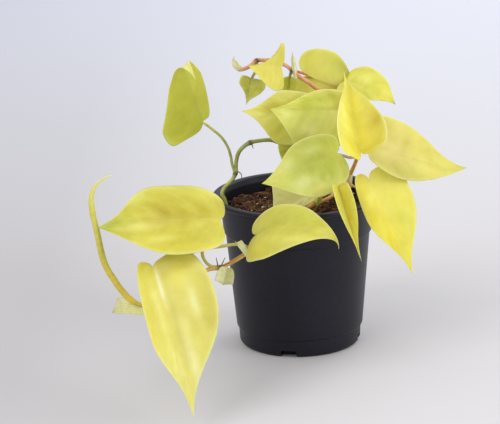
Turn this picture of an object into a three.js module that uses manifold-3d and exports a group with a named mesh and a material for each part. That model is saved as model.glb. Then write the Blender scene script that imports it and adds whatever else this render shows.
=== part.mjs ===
// A golden heartleaf philodendron in a 12 cm nursery pot. Three vines grow from one pot of coir:
// a green one at the left, a tall orange-red one at the back right, whose top arches over to the left,
// and an orange one that hangs over the front of the rim. Eighteen heart-shaped blades hang from them.
// Millimetres, +Z up, -Y to the front, +X to the right, origin at the centre of the pot's underside.

import * as THREE from 'three';
import { mergeVertices } from 'three/addons/utils/BufferGeometryUtils.js';
import Module from 'manifold-3d';

const wasm = await Module();
wasm.setup();

// The pot
const POT_HEIGHT = 108.5;
const POT_SEGMENTS = 40;
const BASE_RADIUS = 41.5;
const FOOT_TOP = 12.4;
const FOOT_RADIUS = 43.8;
const BODY_BOTTOM_RADIUS = 45.1;
const BODY_TOP = 81.5;
const BODY_TOP_RADIUS = 51.2;
const COLLAR_RADIUS = 52.5;
const LIP_BOTTOM = 104.5;
const COLLAR_TOP_RADIUS = 54.6;
const RIM_RADIUS = 60;
const LIP_INNER_RADIUS = 55.5;
const WALL = 1.5;
const FLOOR = 1.8;
const BASE_ROUND = { out: 1.7, up: 2 };
const LIP_ROUND = 0.8;
const DRAIN = { width: 11, height: 5, depth: 12, count: 4, firstAngle: -102.5 };

// The soil
const SOIL_TOP = 98;
const SOIL_RINGS = [0.86, 0.66, 0.4];
const SOIL_SWELL = { height: 0.8, count: 3, lag: 9 };
const SEAT = 0.3;
const HOLE_DEPTH = 22;
const HOLE_CLEARANCE = 0.5;
const HOLE_ABOVE = 10;

// The plant
const BLADE = 0.8;
const STEM_SIDES = 8;
const PETIOLE_SIDES = 5;
const ROOT_SIDES = 4;
const STEP_DIAMETERS = 2;
const TAPER_START = 0.68;
const ROOT_RADIUS = 0.55;
const NODE_SWELL = 1.5;
const SWELLING_TURN = 0.4;
const LOBE_SHARE = 0.32;
const DRIP_START = 0.5;
const DRIP_END = 0.92;
const RIB_STEPS = 200;
const CURL_START = 0.6;
const SOFT_FOLD = 0.05;
const LONG_LEAF = 50;
const LONG_LEAF_ROWS = 12;
const SHORT_LEAF_ROWS = 9;
const LEAF_COLUMNS = 3;
const SHEATH_ROWS = 6;
const SHEATH_COLUMNS = 2;

const COLOURS = {
  pot: '#3f3e43',
  soil: '#4d3728',
  greenStem: '#8a9a3e',
  orangeStem: '#cfa045',
  redStem: '#c07a38',
  leaf: '#d8d140',
  sheath: '#e2dfa6',
};

const root = new THREE.Group();

// Solids

function solid(geometry) {
  const bare = geometry.clone();
  bare.deleteAttribute('normal');
  bare.deleteAttribute('uv');
  const merged = mergeVertices(bare, 1e-4);
  return new wasm.Manifold(new wasm.Mesh({
    numProp: 3,
    vertProperties: new Float32Array(merged.attributes.position.array),
    triVerts: new Uint32Array(merged.index.array),
  }));
}

function geometryOf(manifold) {
  const mesh = manifold.getMesh();
  const geometry = new THREE.BufferGeometry();
  geometry.setAttribute('position', new THREE.BufferAttribute(mesh.vertProperties, 3));
  geometry.setIndex(new THREE.BufferAttribute(mesh.triVerts, 1));
  return geometry;
}

function addNode(name, manifold, color, roughness) {
  const material = new THREE.MeshStandardMaterial({ color, roughness, metalness: 0 });
  const mesh = new THREE.Mesh(geometryOf(manifold), material);
  mesh.name = name;
  root.add(mesh);
}

// Tubes along hand-laid routes

function routeCurve(points) {
  return new THREE.CatmullRomCurve3(points.map((p) => new THREE.Vector3(...p)), false, 'centripetal');
}

function ringShape(radius, sides) {
  const corners = [];
  for (let i = 0; i < sides; i += 1) {
    const angle = (2 * Math.PI * i) / sides;
    corners.push(new THREE.Vector2(radius * Math.cos(angle), radius * Math.sin(angle)));
  }
  return new THREE.Shape(corners);
}

// A tube, thinned from TAPER_START on towards its far end, down to the share `taper` of its radius.
// With `room` it is wider all along by that, for the space that another piece keeps clear.
function tube(points, radius, { sides = STEM_SIDES, taper = 1, room = 0 } = {}) {
  const path = routeCurve(points);
  const steps = Math.max(2, Math.round(path.getLength() / (2 * STEP_DIAMETERS * radius)));
  const geometry = new THREE.ExtrudeGeometry(ringShape(radius + room, sides), {
    steps,
    bevelEnabled: false,
    extrudePath: path,
  });
  if (taper < 1) {
    thin(geometry, path, steps, taper);
  }
  return solid(geometry);
}

function thin(geometry, path, steps, taper) {
  const centres = path.getSpacedPoints(steps);
  const position = geometry.attributes.position;
  const corner = new THREE.Vector3();
  for (let i = 0; i < position.count; i += 1) {
    corner.fromBufferAttribute(position, i);
    let nearest = 0;
    centres.forEach((centre, k) => {
      if (corner.distanceTo(centre) < corner.distanceTo(centres[nearest])) {
        nearest = k;
      }
    });
    const share = 1 - (1 - taper) * smoothStep((nearest / steps - TAPER_START) / (1 - TAPER_START));
    corner.sub(centres[nearest]).multiplyScalar(share).add(centres[nearest]);
    position.setXYZ(i, corner.x, corner.y, corner.z);
  }
}

// A node's swelling, turned so that none of its edges runs along a tube's.
function swelling(centre, radius) {
  const ball = new THREE.OctahedronGeometry(radius, 1);
  ball.rotateX(SWELLING_TURN);
  ball.rotateY(SWELLING_TURN);
  ball.translate(...centre);
  return solid(ball);
}

// The heart-shaped blade

function smoothStep(x) {
  const c = Math.min(1, Math.max(0, x));
  return c * c * (3 - 2 * c);
}

function bezier(t, points) {
  const weights = [(1 - t) ** 3, 3 * (1 - t) ** 2 * t, 3 * (1 - t) * t * t, t ** 3];
  return [0, 1].map((axis) => weights.reduce((sum, w, i) => sum + w * points[i][axis], 0));
}

// Half the outline of a leaf one long and one wide to a side, from the back of its lobe to its tip.
// From its widest place `shoulder` holds the flank out, and it comes to the tip from `pull` along and
// `taper` across. The share `drip` narrows it towards the tip, as a drip tip does.
function halfOutline(t, side) {
  if (t < LOBE_SHARE) {
    const lobe = [[-side.lobe, 0.44], [-side.lobe, 0.8], [side.wide - 0.24, 1], [side.wide, 1]];
    return bezier(t / LOBE_SHARE, lobe);
  }
  const flank = [[side.wide, 1], [side.wide + side.shoulder, 1], [side.pull, side.taper], [1, 0]];
  const [along, across] = bezier((t - LOBE_SHARE) / (1 - LOBE_SHARE), flank);
  const pinch = 1 - side.drip * smoothStep((along - DRIP_START) / (DRIP_END - DRIP_START));
  return [along, across * pinch];
}

// A row runs from the midrib to the outline; near the sinus it first follows the sinus back.
function bladePoint(t, v, side) {
  const edge = halfOutline(t, side);
  const rib = [t ** 1.15, 0];
  const sinus = (1 - t) ** 5;
  const turn = [-side.lobe * 1.05, 0.03];
  return [0, 1].map((axis) => {
    const bend = ((1 - sinus) * (rib[axis] + edge[axis])) / 2 + sinus * turn[axis];
    return (1 - v) ** 2 * rib[axis] + 2 * v * (1 - v) * bend + v * v * edge[axis];
  });
}

function faceDirection(azimuth, elevation) {
  const a = THREE.MathUtils.degToRad(azimuth);
  const e = THREE.MathUtils.degToRad(elevation);
  return new THREE.Vector3(Math.sin(a) * Math.cos(e), -Math.cos(a) * Math.cos(e), Math.sin(e));
}

// The midrib is an arc whose slope falls evenly by `arch` and turns by `curl` from CURL_START on.
function ribSlope(leaf, share) {
  return leaf.arch * (0.5 - share) + leaf.curl * smoothStep((share - CURL_START) / (1 - CURL_START));
}

function ribCurve(leaf) {
  const xs = [0];
  const zs = [0];
  for (let i = 0; i < RIB_STEPS; i += 1) {
    const slope = ribSlope(leaf, (i + 0.5) / RIB_STEPS);
    xs.push(xs[i] + Math.cos(slope) / RIB_STEPS);
    zs.push(zs[i] + Math.sin(slope) / RIB_STEPS);
  }
  const chord = Math.hypot(xs[RIB_STEPS], zs[RIB_STEPS]);
  const tilt = Math.atan2(zs[RIB_STEPS], xs[RIB_STEPS]);
  return { xs, zs, chord, tilt };
}

function bladeFrame(leaf) {
  const base = new THREE.Vector3(...leaf.base);
  const chord = new THREE.Vector3(...leaf.tip).sub(base);
  const along = chord.clone().normalize();
  const up = faceDirection(...leaf.face);
  up.addScaledVector(along, -up.dot(along)).normalize();
  const rib = ribCurve(leaf);
  return { base, along, up, side: along.clone().cross(up), rib, length: chord.length() / rib.chord };
}

// The place of the midrib at the share u of its length, behind the leaf's base where u is negative.
function ribPlace(leaf, frame, u) {
  const { rib, length } = frame;
  const share = Math.min(1, Math.max(0, u));
  const step = share * RIB_STEPS;
  const low = Math.min(RIB_STEPS - 1, Math.floor(step));
  const x = THREE.MathUtils.lerp(rib.xs[low], rib.xs[low + 1], step - low);
  const z = THREE.MathUtils.lerp(rib.zs[low], rib.zs[low + 1], step - low);
  const slope = ribSlope(leaf, share) - rib.tilt;
  const behind = Math.min(u, 0) * length;
  const forward = (x * Math.cos(rib.tilt) + z * Math.sin(rib.tilt)) * length + behind * Math.cos(slope);
  const rise = (z * Math.cos(rib.tilt) - x * Math.sin(rib.tilt)) * length + behind * Math.sin(slope);
  const twist = leaf.twist * (share - 0.5);
  const normal = frame.up.clone().multiplyScalar(Math.cos(slope))
    .addScaledVector(frame.along, -Math.sin(slope));
  return {
    point: frame.base.clone().addScaledVector(frame.along, forward).addScaledVector(frame.up, rise)
      .addScaledVector(frame.side, leaf.sway * 4 * share * (1 - share)),
    side: frame.side.clone().multiplyScalar(Math.cos(twist)).addScaledVector(normal, Math.sin(twist)),
    normal: normal.multiplyScalar(Math.cos(twist)).addScaledVector(frame.side, -Math.sin(twist)),
  };
}

// Each half rises from the midrib by the fold, sinks again towards the edge by the cup, and waves.
function bladeSurfacePoint(leaf, frame, hand, t, v) {
  const [u, across] = bladePoint(t, v, leaf.sides[hand]);
  const place = ribPlace(leaf, frame, u);
  const width = leaf.half[hand];
  const soft = Math.hypot(across, SOFT_FOLD) - SOFT_FOLD;
  const wave = leaf.wave * across ** 2 * Math.sin(2 * Math.PI * leaf.waves * u + hand);
  const lift = width * (soft * Math.sin(leaf.fold) - leaf.cup * across ** 2 + wave);
  const out = width * across * Math.cos(leaf.fold) * (hand === 0 ? -1 : 1);
  return place.point.addScaledVector(place.side, out).addScaledVector(place.normal, lift);
}

function bladeSkin(leaf, rows, columns) {
  const frame = bladeFrame(leaf);
  const grid = [];
  for (let i = 0; i < rows; i += 1) {
    for (let j = -columns; j <= columns; j += 1) {
      grid.push(bladeSurfacePoint(leaf, frame, j < 0 ? 0 : 1, i / rows, Math.abs(j) / columns));
    }
  }
  grid.push(bladeSurfacePoint(leaf, frame, 1, 1, 0));
  return grid;
}

// Triangles of one face of the grid: rows of quads, split alike, and a fan that ends at the tip.
function skinTriangles(rows, columns) {
  const across = 2 * columns + 1;
  const tip = rows * across;
  const triangles = [];
  for (let i = 0; i < rows; i += 1) {
    for (let j = 0; j < across - 1; j += 1) {
      const corner = i * across + j;
      if (i === rows - 1) {
        triangles.push([corner, corner + 1, tip]);
      } else {
        triangles.push([corner, corner + 1, corner + across + 1]);
        triangles.push([corner, corner + across + 1, corner + across]);
      }
    }
  }
  return triangles;
}

// The edge of the grid, in the order in which it goes round the upper face.
function skinEdge(rows, columns) {
  const across = 2 * columns + 1;
  const edge = [];
  for (let j = 0; j < across; j += 1) {
    edge.push(j);
  }
  for (let i = 1; i < rows; i += 1) {
    edge.push(i * across + across - 1);
  }
  edge.push(rows * across);
  for (let i = rows - 1; i > 0; i -= 1) {
    edge.push(i * across);
  }
  return edge;
}

function bladeGeometry(leaf, rows, columns) {
  const grid = bladeSkin(leaf, rows, columns);
  const upper = skinTriangles(rows, columns);
  const skin = new THREE.BufferGeometry().setFromPoints(grid);
  skin.setIndex(upper.flat());
  skin.computeVertexNormals();
  const normal = new THREE.Vector3();
  const faces = [0.5, -0.5].map((share) => grid.map((point, i) => {
    normal.fromBufferAttribute(skin.attributes.normal, i);
    return point.clone().addScaledVector(normal, share * leaf.thickness);
  }));
  const count = grid.length;
  const lower = upper.map(([a, b, c]) => [a + count, c + count, b + count]);
  const edge = skinEdge(rows, columns);
  const rim = edge.flatMap((a, i) => {
    const b = edge[(i + 1) % edge.length];
    return [[a, a + count, b], [b, a + count, b + count]];
  });
  const geometry = new THREE.BufferGeometry().setFromPoints(faces.flat());
  geometry.setIndex([...upper, ...lower, ...rim].flat());
  return geometry;
}

// A leaf's measures: base and tip in mm, the width of its left and right half seen from above, base to
// tip, the azimuth and elevation that its upper side faces, and how it is shaped. A pair is [left, right].
function leafOf(measures) {
  const shape = {
    lobe: 0.09, wide: 0.22, taper: 0.16, shoulder: 0.27, drip: 0.4, pull: 0.74, fold: 15, arch: 0,
    curl: 0, sway: 0, twist: 0, cup: 0.12, wave: 0.04, waves: 1.5, thickness: BLADE, ...measures,
  };
  const pick = (value, hand) => (Array.isArray(value) ? value[hand] : value);
  shape.sides = [0, 1].map((hand) => ({
    lobe: pick(shape.lobe, hand),
    wide: pick(shape.wide, hand),
    taper: pick(shape.taper, hand),
    shoulder: pick(shape.shoulder, hand),
    drip: pick(shape.drip, hand),
    pull: pick(shape.pull, hand),
  }));
  for (const angle of ['fold', 'arch', 'curl', 'twist']) {
    shape[angle] = THREE.MathUtils.degToRad(shape[angle]);
  }
  return shape;
}

const LEAVES = [
  // The green vine at the left
  { name: 'leaf_left_1', vine: 'vine_left', base: [-65, -8, 164], tip: [-67.5, -40, 200.5],
    half: [11.5, 29.5], face: [200, -10], fold: 10, arch: 10, curl: -150, lobe: [0, 0.1],
    wide: [0.45, 0.09], taper: [0.5, 0.05], shoulder: [0.25, 0.1], drip: [0.4, 0.25] },
  { name: 'leaf_left_2', vine: 'vine_left', base: [16, 2, 163], tip: [-38, -24, 175], half: [22, 17],
    face: [0, 15], fold: 10, wide: [0.42, 0.4], taper: [0.35, 0.3] },
  { name: 'leaf_left_3', vine: 'vine_left', base: [3, 2, 146], tip: [-10, -6, 124], half: [14, 14],
    face: [0, 20], fold: 20 },
  // The tall vine, from the soil up
  { name: 'leaf_tall_1', vine: 'vine_tall', base: [20, 9, 108], tip: [-18, -22, 101], half: [6, 22],
    face: [0, 35], fold: 8, lobe: 0.04, wide: 0.55, taper: [0.45, 0.6], drip: 0 },
  { name: 'leaf_tall_2', vine: 'vine_tall', base: [27, -57, 128], tip: [41, -80, 81], half: [12, 14],
    face: [10, 25], fold: 60, lobe: 0.02, wave: 0 },
  { name: 'leaf_tall_3', vine: 'vine_tall', base: [49, -44, 128], tip: [76, -78, 70], half: [24, 14],
    face: [10, 25], fold: 12, wide: [0.26, 0.34], taper: [0.25, 0.16], drip: [0.2, 0.35] },
  { name: 'leaf_tall_4', vine: 'vine_tall', base: [26, -42, 147], tip: [-25, -62, 133], half: [24, 18],
    face: [0, 20], fold: 6, wide: 0.3, taper: [0.42, 0.25], drip: [0, 0.2] },
  { name: 'leaf_tall_5', vine: 'vine_tall', base: [42, -66, 155], tip: [34, -10, 198], half: [27, 26],
    face: [10, 40], fold: 50, lobe: [0.16, 0.08], wide: [0.02, 0.12], taper: 0.1 },
  { name: 'leaf_tall_6', vine: 'vine_tall', base: [55, -45, 155], tip: [118, -25, 130], half: [22, 18],
    face: [10, 30], fold: 8, sway: 4, taper: [0.12, 0.5], drip: [0.2, 0] },
  { name: 'leaf_tall_7', vine: 'vine_tall', base: [33, -8, 169], tip: [-18, -34, 178], half: [31, 15],
    face: [0, 15], fold: 10, wide: [0.5, 0.22], taper: [0.5, 0.16], shoulder: [0.2, 0.27], drip: 0.1 },
  { name: 'leaf_tall_8', vine: 'vine_tall', base: [39, 22, 183], tip: [71, 6, 169], half: [19, 16],
    face: [20, 45], fold: 10, arch: 12, wide: [0.32, 0.2], taper: [0.45, 0.1], drip: [0, 0.4] },
  { name: 'leaf_tall_9', vine: 'vine_tall', base: [13, 20, 187], tip: [53, 30, 170], half: [22, 23],
    face: [180, -20], fold: 10, arch: 10, lobe: 0.28 },
  { name: 'leaf_tall_10', vine: 'vine_tall', base: [-3, 11, 189], tip: [-4, 12, 171], half: [9, 9],
    face: [0, 20], fold: 50 },
  { name: 'leaf_tall_11', vine: 'vine_tall', base: [-9, -8, 202], tip: [-32, -48, 212], half: [18, 17],
    face: [68, 10], fold: 12, lobe: [0, 0.1], wide: [0.3, 0], shoulder: [0.15, 0.02], taper: [0.45, 0],
    drip: 0, pull: [0.74, 0.15] },
  { name: 'leaf_tall_12', vine: 'vine_tall', base: [-30, -4, 192], tip: [-34, -12, 176], half: [11, 9],
    face: [20, 20], wide: 0.15, taper: [0.16, 0.4], pull: [0.74, 0.25] },
  // The trailing vine, from the rim on
  { name: 'leaf_trailing_1', vine: 'vine_trailing', base: [-29, -88, 105], tip: [25, -92, 94],
    half: [20, 23], face: [0, 50], fold: 6, arch: 90, curl: -50, wide: [0.34, 0.12], taper: [0.1, 0],
    shoulder: [0.22, 0.15] },
  { name: 'leaf_trailing_2', vine: 'vine_trailing', base: [-98, -125, 95], tip: [-73, -185, 13],
    half: [36, 18], face: [20, 25], fold: 25, arch: 14, twist: 25, lobe: 0.05, wide: [0.3, 0.52],
    taper: [0.2, 0.45], drip: [0.25, 0.5] },
  { name: 'leaf_trailing_3', vine: 'vine_trailing', base: [-54, -108, 122], tip: [-133, -125, 124],
    half: [29, 31], face: [0, 55], fold: 6, arch: 18, lobe: [0.02, 0.07], wide: [0.36, 0.42],
    taper: [0.6, 0.35], shoulder: [0.27, 0.33], drip: [0, 0.35] },
];

// The papery sheaths at the nodes are short blunt blades folded round the stem.
const SHEATH = { lobe: 0, wide: 0.6, taper: 1.3, shoulder: 0.45, drip: 0, fold: 55, cup: 0, wave: 0 };
const SHEATHS = [
  { name: 'sheath_trailing_1', vine: 'vine_trailing', base: [12, -27, 106], tip: [20, -32, 128],
    half: [4, 4], face: [160, 10], wide: 0.3, taper: 0.2 },
  { name: 'sheath_trailing_2', vine: 'vine_trailing', base: [-37, -87, 89], tip: [-44, -92, 101],
    half: [4.5, 4.5], face: [150, 10] },
  { name: 'sheath_trailing_3', vine: 'vine_trailing', base: [-50, -90, 83], tip: [-53, -94, 72],
    half: [7.5, 7.5], face: [0, 10], fold: 35 },
  { name: 'sheath_trailing_4', vine: 'vine_trailing', base: [-106, -108, 57.5], tip: [-127.5, -108, 59.5],
    half: [10.5, 10.5], face: [0, 60], fold: 50 },
  { name: 'sheath_tall_1', vine: 'vine_tall', base: [38, 15, 106], tip: [38, 12, 117], half: [4, 4],
    face: [180, 0] },
  { name: 'sheath_tall_2', vine: 'vine_tall', base: [1, -1, 191], tip: [-1, 1, 210], half: [3, 3],
    face: [180, 0], wide: 0.4, taper: 0.3 },
  { name: 'sheath_tall_3', vine: 'vine_tall', base: [-36, -3, 198], tip: [-41, -4, 209], half: [5.5, 5.5],
    face: [-90, 0], wide: 0.4, taper: 0.3, fold: -45, arch: 140 },
];

// Vines. The stem of each is straight in its hole in the soil, whose mouth is at `hole` and whose end
// lies by `lean` beside that; petioles leave it at its nodes.
const VINES = {
  vine_left: {
    radius: 1.4,
    petiole: 1.1,
    color: COLOURS.greenStem,
    hole: [-49.1, -7.5],
    lean: [4.2, 0],
    stem: [[-50.1, -7.6, 103], [-51.2, -7.8, 107.3], [-52.6, -7.8, 110.5], [-52.3, -7.4, 113.3],
      [-49.5, -6.2, 117], [-46, -5, 120], [-43, -4, 125], [-42, -3, 134], [-40, -2, 140],
      [-36, -1, 144], [-32, 0, 146], [-25, 1, 147], [-18, 2, 147], [-10, 3, 145], [-2, 4, 144]],
    nodes: [[-43, -4, 125], [-32, 0, 146], [-13, 2.5, 146], [-2, 4, 144]],
    petioles: {
      leaf_left_1: [[-43, -4, 125], [-45, -4, 131], [-46, -4, 138], [-48, -5, 145], [-52, -6, 152],
        [-58, -7, 158], [-65, -8, 164]],
      leaf_left_2: [[-2, 4, 144], [5, 8, 146], [13, 8, 155], [16, 2, 163]],
      leaf_left_3: [[-2, 4, 144], [1, 4, 145], [3, 2, 146]],
    },
    roots: [[[-42, -4, 127], [-39, -6, 125], [-38.5, -7, 121]], [[-31, 0, 146], [-30, -1, 142]]],
  },
  vine_tall: {
    radius: 1.4,
    petiole: 1.1,
    color: COLOURS.redStem,
    hole: [37, 20],
    lean: [0, 0],
    stem: [[37, 19.5, 104], [38, 18, 110], [39, 17, 116], [42, 15, 124], [44, 13, 130], [46, 10, 139],
      [46, 8, 151], [42, 6, 162], [36, 4, 172], [30, 3, 179], [22, 2, 181], [16, 1, 183], [10, 0, 188],
      [4, 1, 192], [-1, 3, 196], [-5, 6, 199], [-11, 9, 201], [-17, 10, 202], [-22, 9, 203],
      [-26, 7, 203], [-31, 3, 200], [-35, 0, 199], [-38, -2, 199]],
    nodes: [[38, 18, 110], [46, 10, 139], [42, 6, 162], [-1, 3, 196], [-17, 10, 202], [-26, 7, 203]],
    petioles: {
      leaf_tall_1: [[38, 18, 110], [33, 17, 110], [27, 14, 110], [20, 9, 108]],
      leaf_tall_2: [[38, 18, 110], [36, 0, 110], [33, -25, 112.5], [31, -48, 117], [27, -57, 128]],
      leaf_tall_3: [[38, 18, 110], [40, 4, 111], [44, -22, 117], [46, -36, 122], [49, -44, 128]],
      leaf_tall_4: [[44, 13, 130], [38, 0, 133], [32, -20, 140], [26, -42, 147]],
      leaf_tall_5: [[46, 10, 139], [44, 0, 141], [41, -30, 145], [40, -50, 149], [42, -66, 155]],
      leaf_tall_6: [[46, 10, 139], [47, -8, 143], [50, -28, 148], [55, -45, 155]],
      leaf_tall_7: [[42, 6, 162], [39, 0, 165], [35, -5, 167], [33, -8, 169]],
      leaf_tall_8: [[42, 6, 162], [44, 12, 168], [43, 18, 175], [39, 22, 183]],
      leaf_tall_9: [[-1, 3, 196], [3, 8, 194], [8, 14, 191], [13, 20, 187]],
      leaf_tall_10: [[-1, 3, 196], [-2, 7, 194], [-3, 11, 189]],
      leaf_tall_11: [[-17, 10, 202], [-14, 6, 202], [-11, -2, 202], [-9, -8, 202]],
      leaf_tall_12: [[-26, 7, 203], [-26, 5, 198], [-28, 0, 195], [-30, -4, 192]],
    },
    roots: [[[-9, 8, 200], [-9, 3, 193], [-9, 1, 190], [-10, 0, 186], [-12, -1, 183]]],
  },
  vine_trailing: {
    radius: 1.45,
    petiole: 1.2,
    color: COLOURS.orangeStem,
    hole: [30, 19],
    lean: [0, 0],
    stem: [[30, 18, 103], [28, 12, 104.5], [24, 2, 104], [18, -11, 105], [11, -26, 107], [5, -40, 108],
      [-1, -57, 110.6], [-8, -69, 111], [-16, -75, 107], [-25, -78, 100], [-34, -80, 92],
      [-41, -84, 88], [-48, -87, 85], [-55, -90, 83], [-62, -93, 83], [-71, -96, 80], [-85, -102, 73],
      [-102, -107, 66.5], [-107, -108, 64.5], [-109.5, -108, 64.8], [-112, -108, 66.2]],
    nodes: [[11, -26, 107], [-25, -78, 100], [-34, -80, 92], [-55, -90, 83], [-102, -107, 66.5]],
    petioles: {
      leaf_trailing_1: [[-25, -78, 100], [-27, -84, 103], [-29, -88, 105]],
      leaf_trailing_2: [[-34, -80, 92], [-38, -84, 96], [-43, -90, 99], [-53, -100, 101],
        [-62, -107, 102], [-75, -114, 101], [-88, -120, 99], [-98, -125, 95]],
      leaf_trailing_3: [[-55, -90, 83], [-61, -92, 85], [-65, -94, 90], [-66, -98, 98],
        [-62, -102, 108], [-58, -105, 116], [-54, -108, 122]],
    },
    roots: [[[-56, -91, 84], [-57, -93, 91]], [[-54, -90, 84], [-51, -93, 91]],
      [[-53, -90, 84], [-48, -92, 87]]],
  },
};

// The youngest leaf of the trailing vine is still rolled up: a whip that thins to its tip.
const WHIP = {
  radius: 2.35,
  taper: 0.2,
  route: [[-112.55, -108, 66.5], [-116, -108, 69.5], [-121, -108, 75.7], [-125, -108, 82.5],
    [-128.7, -108, 89], [-131.3, -108, 96], [-132.8, -108, 103], [-133.8, -108, 110],
    [-135, -108, 118], [-136.5, -108, 126], [-137.2, -108, 132], [-137.5, -108, 139], [-136, -108, 144],
    [-133, -108, 149], [-129, -108, 152], [-124, -108, 154]],
};

// With `room` it starts that much earlier as well.
function whip(room = 0) {
  const route = lengthened([...WHIP.route].reverse(), room).reverse();
  return tube(route, WHIP.radius, { taper: WHIP.taper, room });
}

function pot() {
  const inner = (radius) => radius - WALL;
  const profile = [
    [0, 0], [BASE_RADIUS, 0], [BASE_RADIUS + BASE_ROUND.out, BASE_ROUND.up], [FOOT_RADIUS, FOOT_TOP],
    [BODY_BOTTOM_RADIUS, FOOT_TOP + 0.8], [BODY_TOP_RADIUS, BODY_TOP], [COLLAR_RADIUS, BODY_TOP + 1],
    [COLLAR_TOP_RADIUS, LIP_BOTTOM], [RIM_RADIUS - LIP_ROUND, LIP_BOTTOM + 1],
    [RIM_RADIUS, LIP_BOTTOM + 2], [RIM_RADIUS, POT_HEIGHT - LIP_ROUND],
    [RIM_RADIUS - LIP_ROUND, POT_HEIGHT], [LIP_INNER_RADIUS, POT_HEIGHT],
    [LIP_INNER_RADIUS - 1, POT_HEIGHT - LIP_ROUND], [inner(COLLAR_TOP_RADIUS), LIP_BOTTOM],
    [inner(COLLAR_RADIUS), BODY_TOP + 1.5], [inner(BODY_TOP_RADIUS), BODY_TOP - 0.5],
    [inner(BODY_BOTTOM_RADIUS), FOOT_TOP + 1.4], [inner(FOOT_RADIUS), FOOT_TOP - 0.8],
    [inner(BASE_RADIUS + BASE_ROUND.out), FLOOR + 1.5], [inner(BASE_RADIUS), FLOOR], [0, FLOOR],
  ];
  let body = solid(new THREE.LatheGeometry(profile.map((p) => new THREE.Vector2(...p)), POT_SEGMENTS)
    .rotateX(Math.PI / 2));
  for (let i = 0; i < DRAIN.count; i += 1) {
    const angle = THREE.MathUtils.degToRad(DRAIN.firstAngle + (360 * i) / DRAIN.count);
    const notch = new THREE.BoxGeometry(DRAIN.depth, DRAIN.width, 2 * DRAIN.height);
    notch.translate(BASE_RADIUS, 0, 0);
    notch.rotateZ(angle);
    body = body.subtract(solid(notch));
  }
  return body;
}

// The soil fills the pot to the seat's clearance. Its top swells and sinks in gentle waves.
function soil() {
  const inner = (radius) => radius - WALL - SEAT;
  const edge = inner(COLLAR_RADIUS) + 1.4;
  const profile = [
    [0, FLOOR + SEAT], [inner(BASE_RADIUS) - 0.2, FLOOR + SEAT],
    [inner(BASE_RADIUS + BASE_ROUND.out), FLOOR + 1.8], [inner(FOOT_RADIUS), FOOT_TOP - 0.6],
    [inner(BODY_BOTTOM_RADIUS), FOOT_TOP + 1.8], [inner(BODY_TOP_RADIUS), BODY_TOP - 0.3],
    [inner(COLLAR_RADIUS), BODY_TOP + 1.8], [edge, SOIL_TOP],
    ...SOIL_RINGS.map((share) => [share * edge, SOIL_TOP]), [0, SOIL_TOP],
  ];
  const lathe = new THREE.LatheGeometry(profile.map((p) => new THREE.Vector2(...p)), POT_SEGMENTS)
    .rotateX(Math.PI / 2);
  const position = lathe.attributes.position;
  for (let i = 0; i < position.count; i += 1) {
    const radius = Math.hypot(position.getX(i), position.getY(i));
    if (position.getZ(i) > SOIL_TOP - 0.01 && radius > 1) {
      const angle = Math.atan2(position.getY(i), position.getX(i));
      const wave = Math.sin(SOIL_SWELL.count * angle + radius / SOIL_SWELL.lag);
      position.setZ(i, SOIL_TOP + (SOIL_SWELL.height * wave * radius) / edge);
    }
  }
  let fill = solid(lathe);
  for (const vine of Object.values(VINES)) {
    const route = [HOLE_DEPTH + SEAT, -HOLE_ABOVE].map((depth) => holePoint(vine, depth));
    fill = fill.subtract(tube(route, vine.radius, { room: HOLE_CLEARANCE }));
  }
  return fill;
}

// The middle of the vine's hole at a depth below the soil's top.
function holePoint({ hole, lean }, depth) {
  const share = depth / HOLE_DEPTH;
  return [hole[0] + lean[0] * share, hole[1] + lean[1] * share, SOIL_TOP - depth];
}

function stemRoute(vine) {
  return [...[HOLE_DEPTH, 1, -2].map((depth) => holePoint(vine, depth)), ...vine.stem];
}

// The whole vine, or with `room` the space that a piece close to it keeps clear of.
function vineSolid(vine, room = 0) {
  const pieces = [tube(lengthened(stemRoute(vine), room), vine.radius, { room })];
  vine.nodes.forEach((centre) => pieces.push(swelling(centre, vine.radius * NODE_SWELL + room)));
  Object.values(vine.petioles).forEach((route) => {
    pieces.push(tube(route, vine.petiole, { sides: PETIOLE_SIDES, room }));
  });
  vine.roots.forEach((route) => pieces.push(tube(route, ROOT_RADIUS, { sides: ROOT_SIDES, room })));
  return pieces.reduce((whole, piece) => whole.add(piece));
}

// The petiole and its clearance, which a blade is notched by where they meet.
function petioleRoom(vine, name) {
  const route = lengthened(vine.petioles[name], SEAT);
  return tube(route, vine.petiole, { sides: PETIOLE_SIDES, room: SEAT });
}

function lengthened(route, more) {
  const end = new THREE.Vector3(...route.at(-1));
  const before = new THREE.Vector3(...route.at(-2));
  const step = end.clone().sub(before).setLength(more);
  return [...route.slice(0, -1), end.add(step).toArray()];
}

addNode('pot', pot(), COLOURS.pot, 0.55);
addNode('potting_soil', soil(), COLOURS.soil, 1);

for (const [name, vine] of Object.entries(VINES)) {
  addNode(name, vineSolid(vine), vine.color, 0.5);
}

for (const measures of LEAVES) {
  const leaf = leafOf(measures);
  const chord = new THREE.Vector3(...leaf.base).distanceTo(new THREE.Vector3(...leaf.tip));
  const rows = chord > LONG_LEAF ? LONG_LEAF_ROWS : SHORT_LEAF_ROWS;
  const blade = solid(bladeGeometry(leaf, rows, LEAF_COLUMNS));
  addNode(leaf.name, blade.subtract(petioleRoom(VINES[leaf.vine], leaf.name)), COLOURS.leaf, 0.45);
}

addNode('leaf_trailing_furled', whip(), COLOURS.leaf, 0.45);

for (const measures of SHEATHS) {
  const sheath = solid(bladeGeometry(leafOf({ ...SHEATH, ...measures }), SHEATH_ROWS, SHEATH_COLUMNS));
  const room = vineSolid(VINES[measures.vine], SEAT).add(whip(SEAT));
  addNode(measures.name, sheath.subtract(room), COLOURS.sheath, 0.6);
}

export default root;
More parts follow.
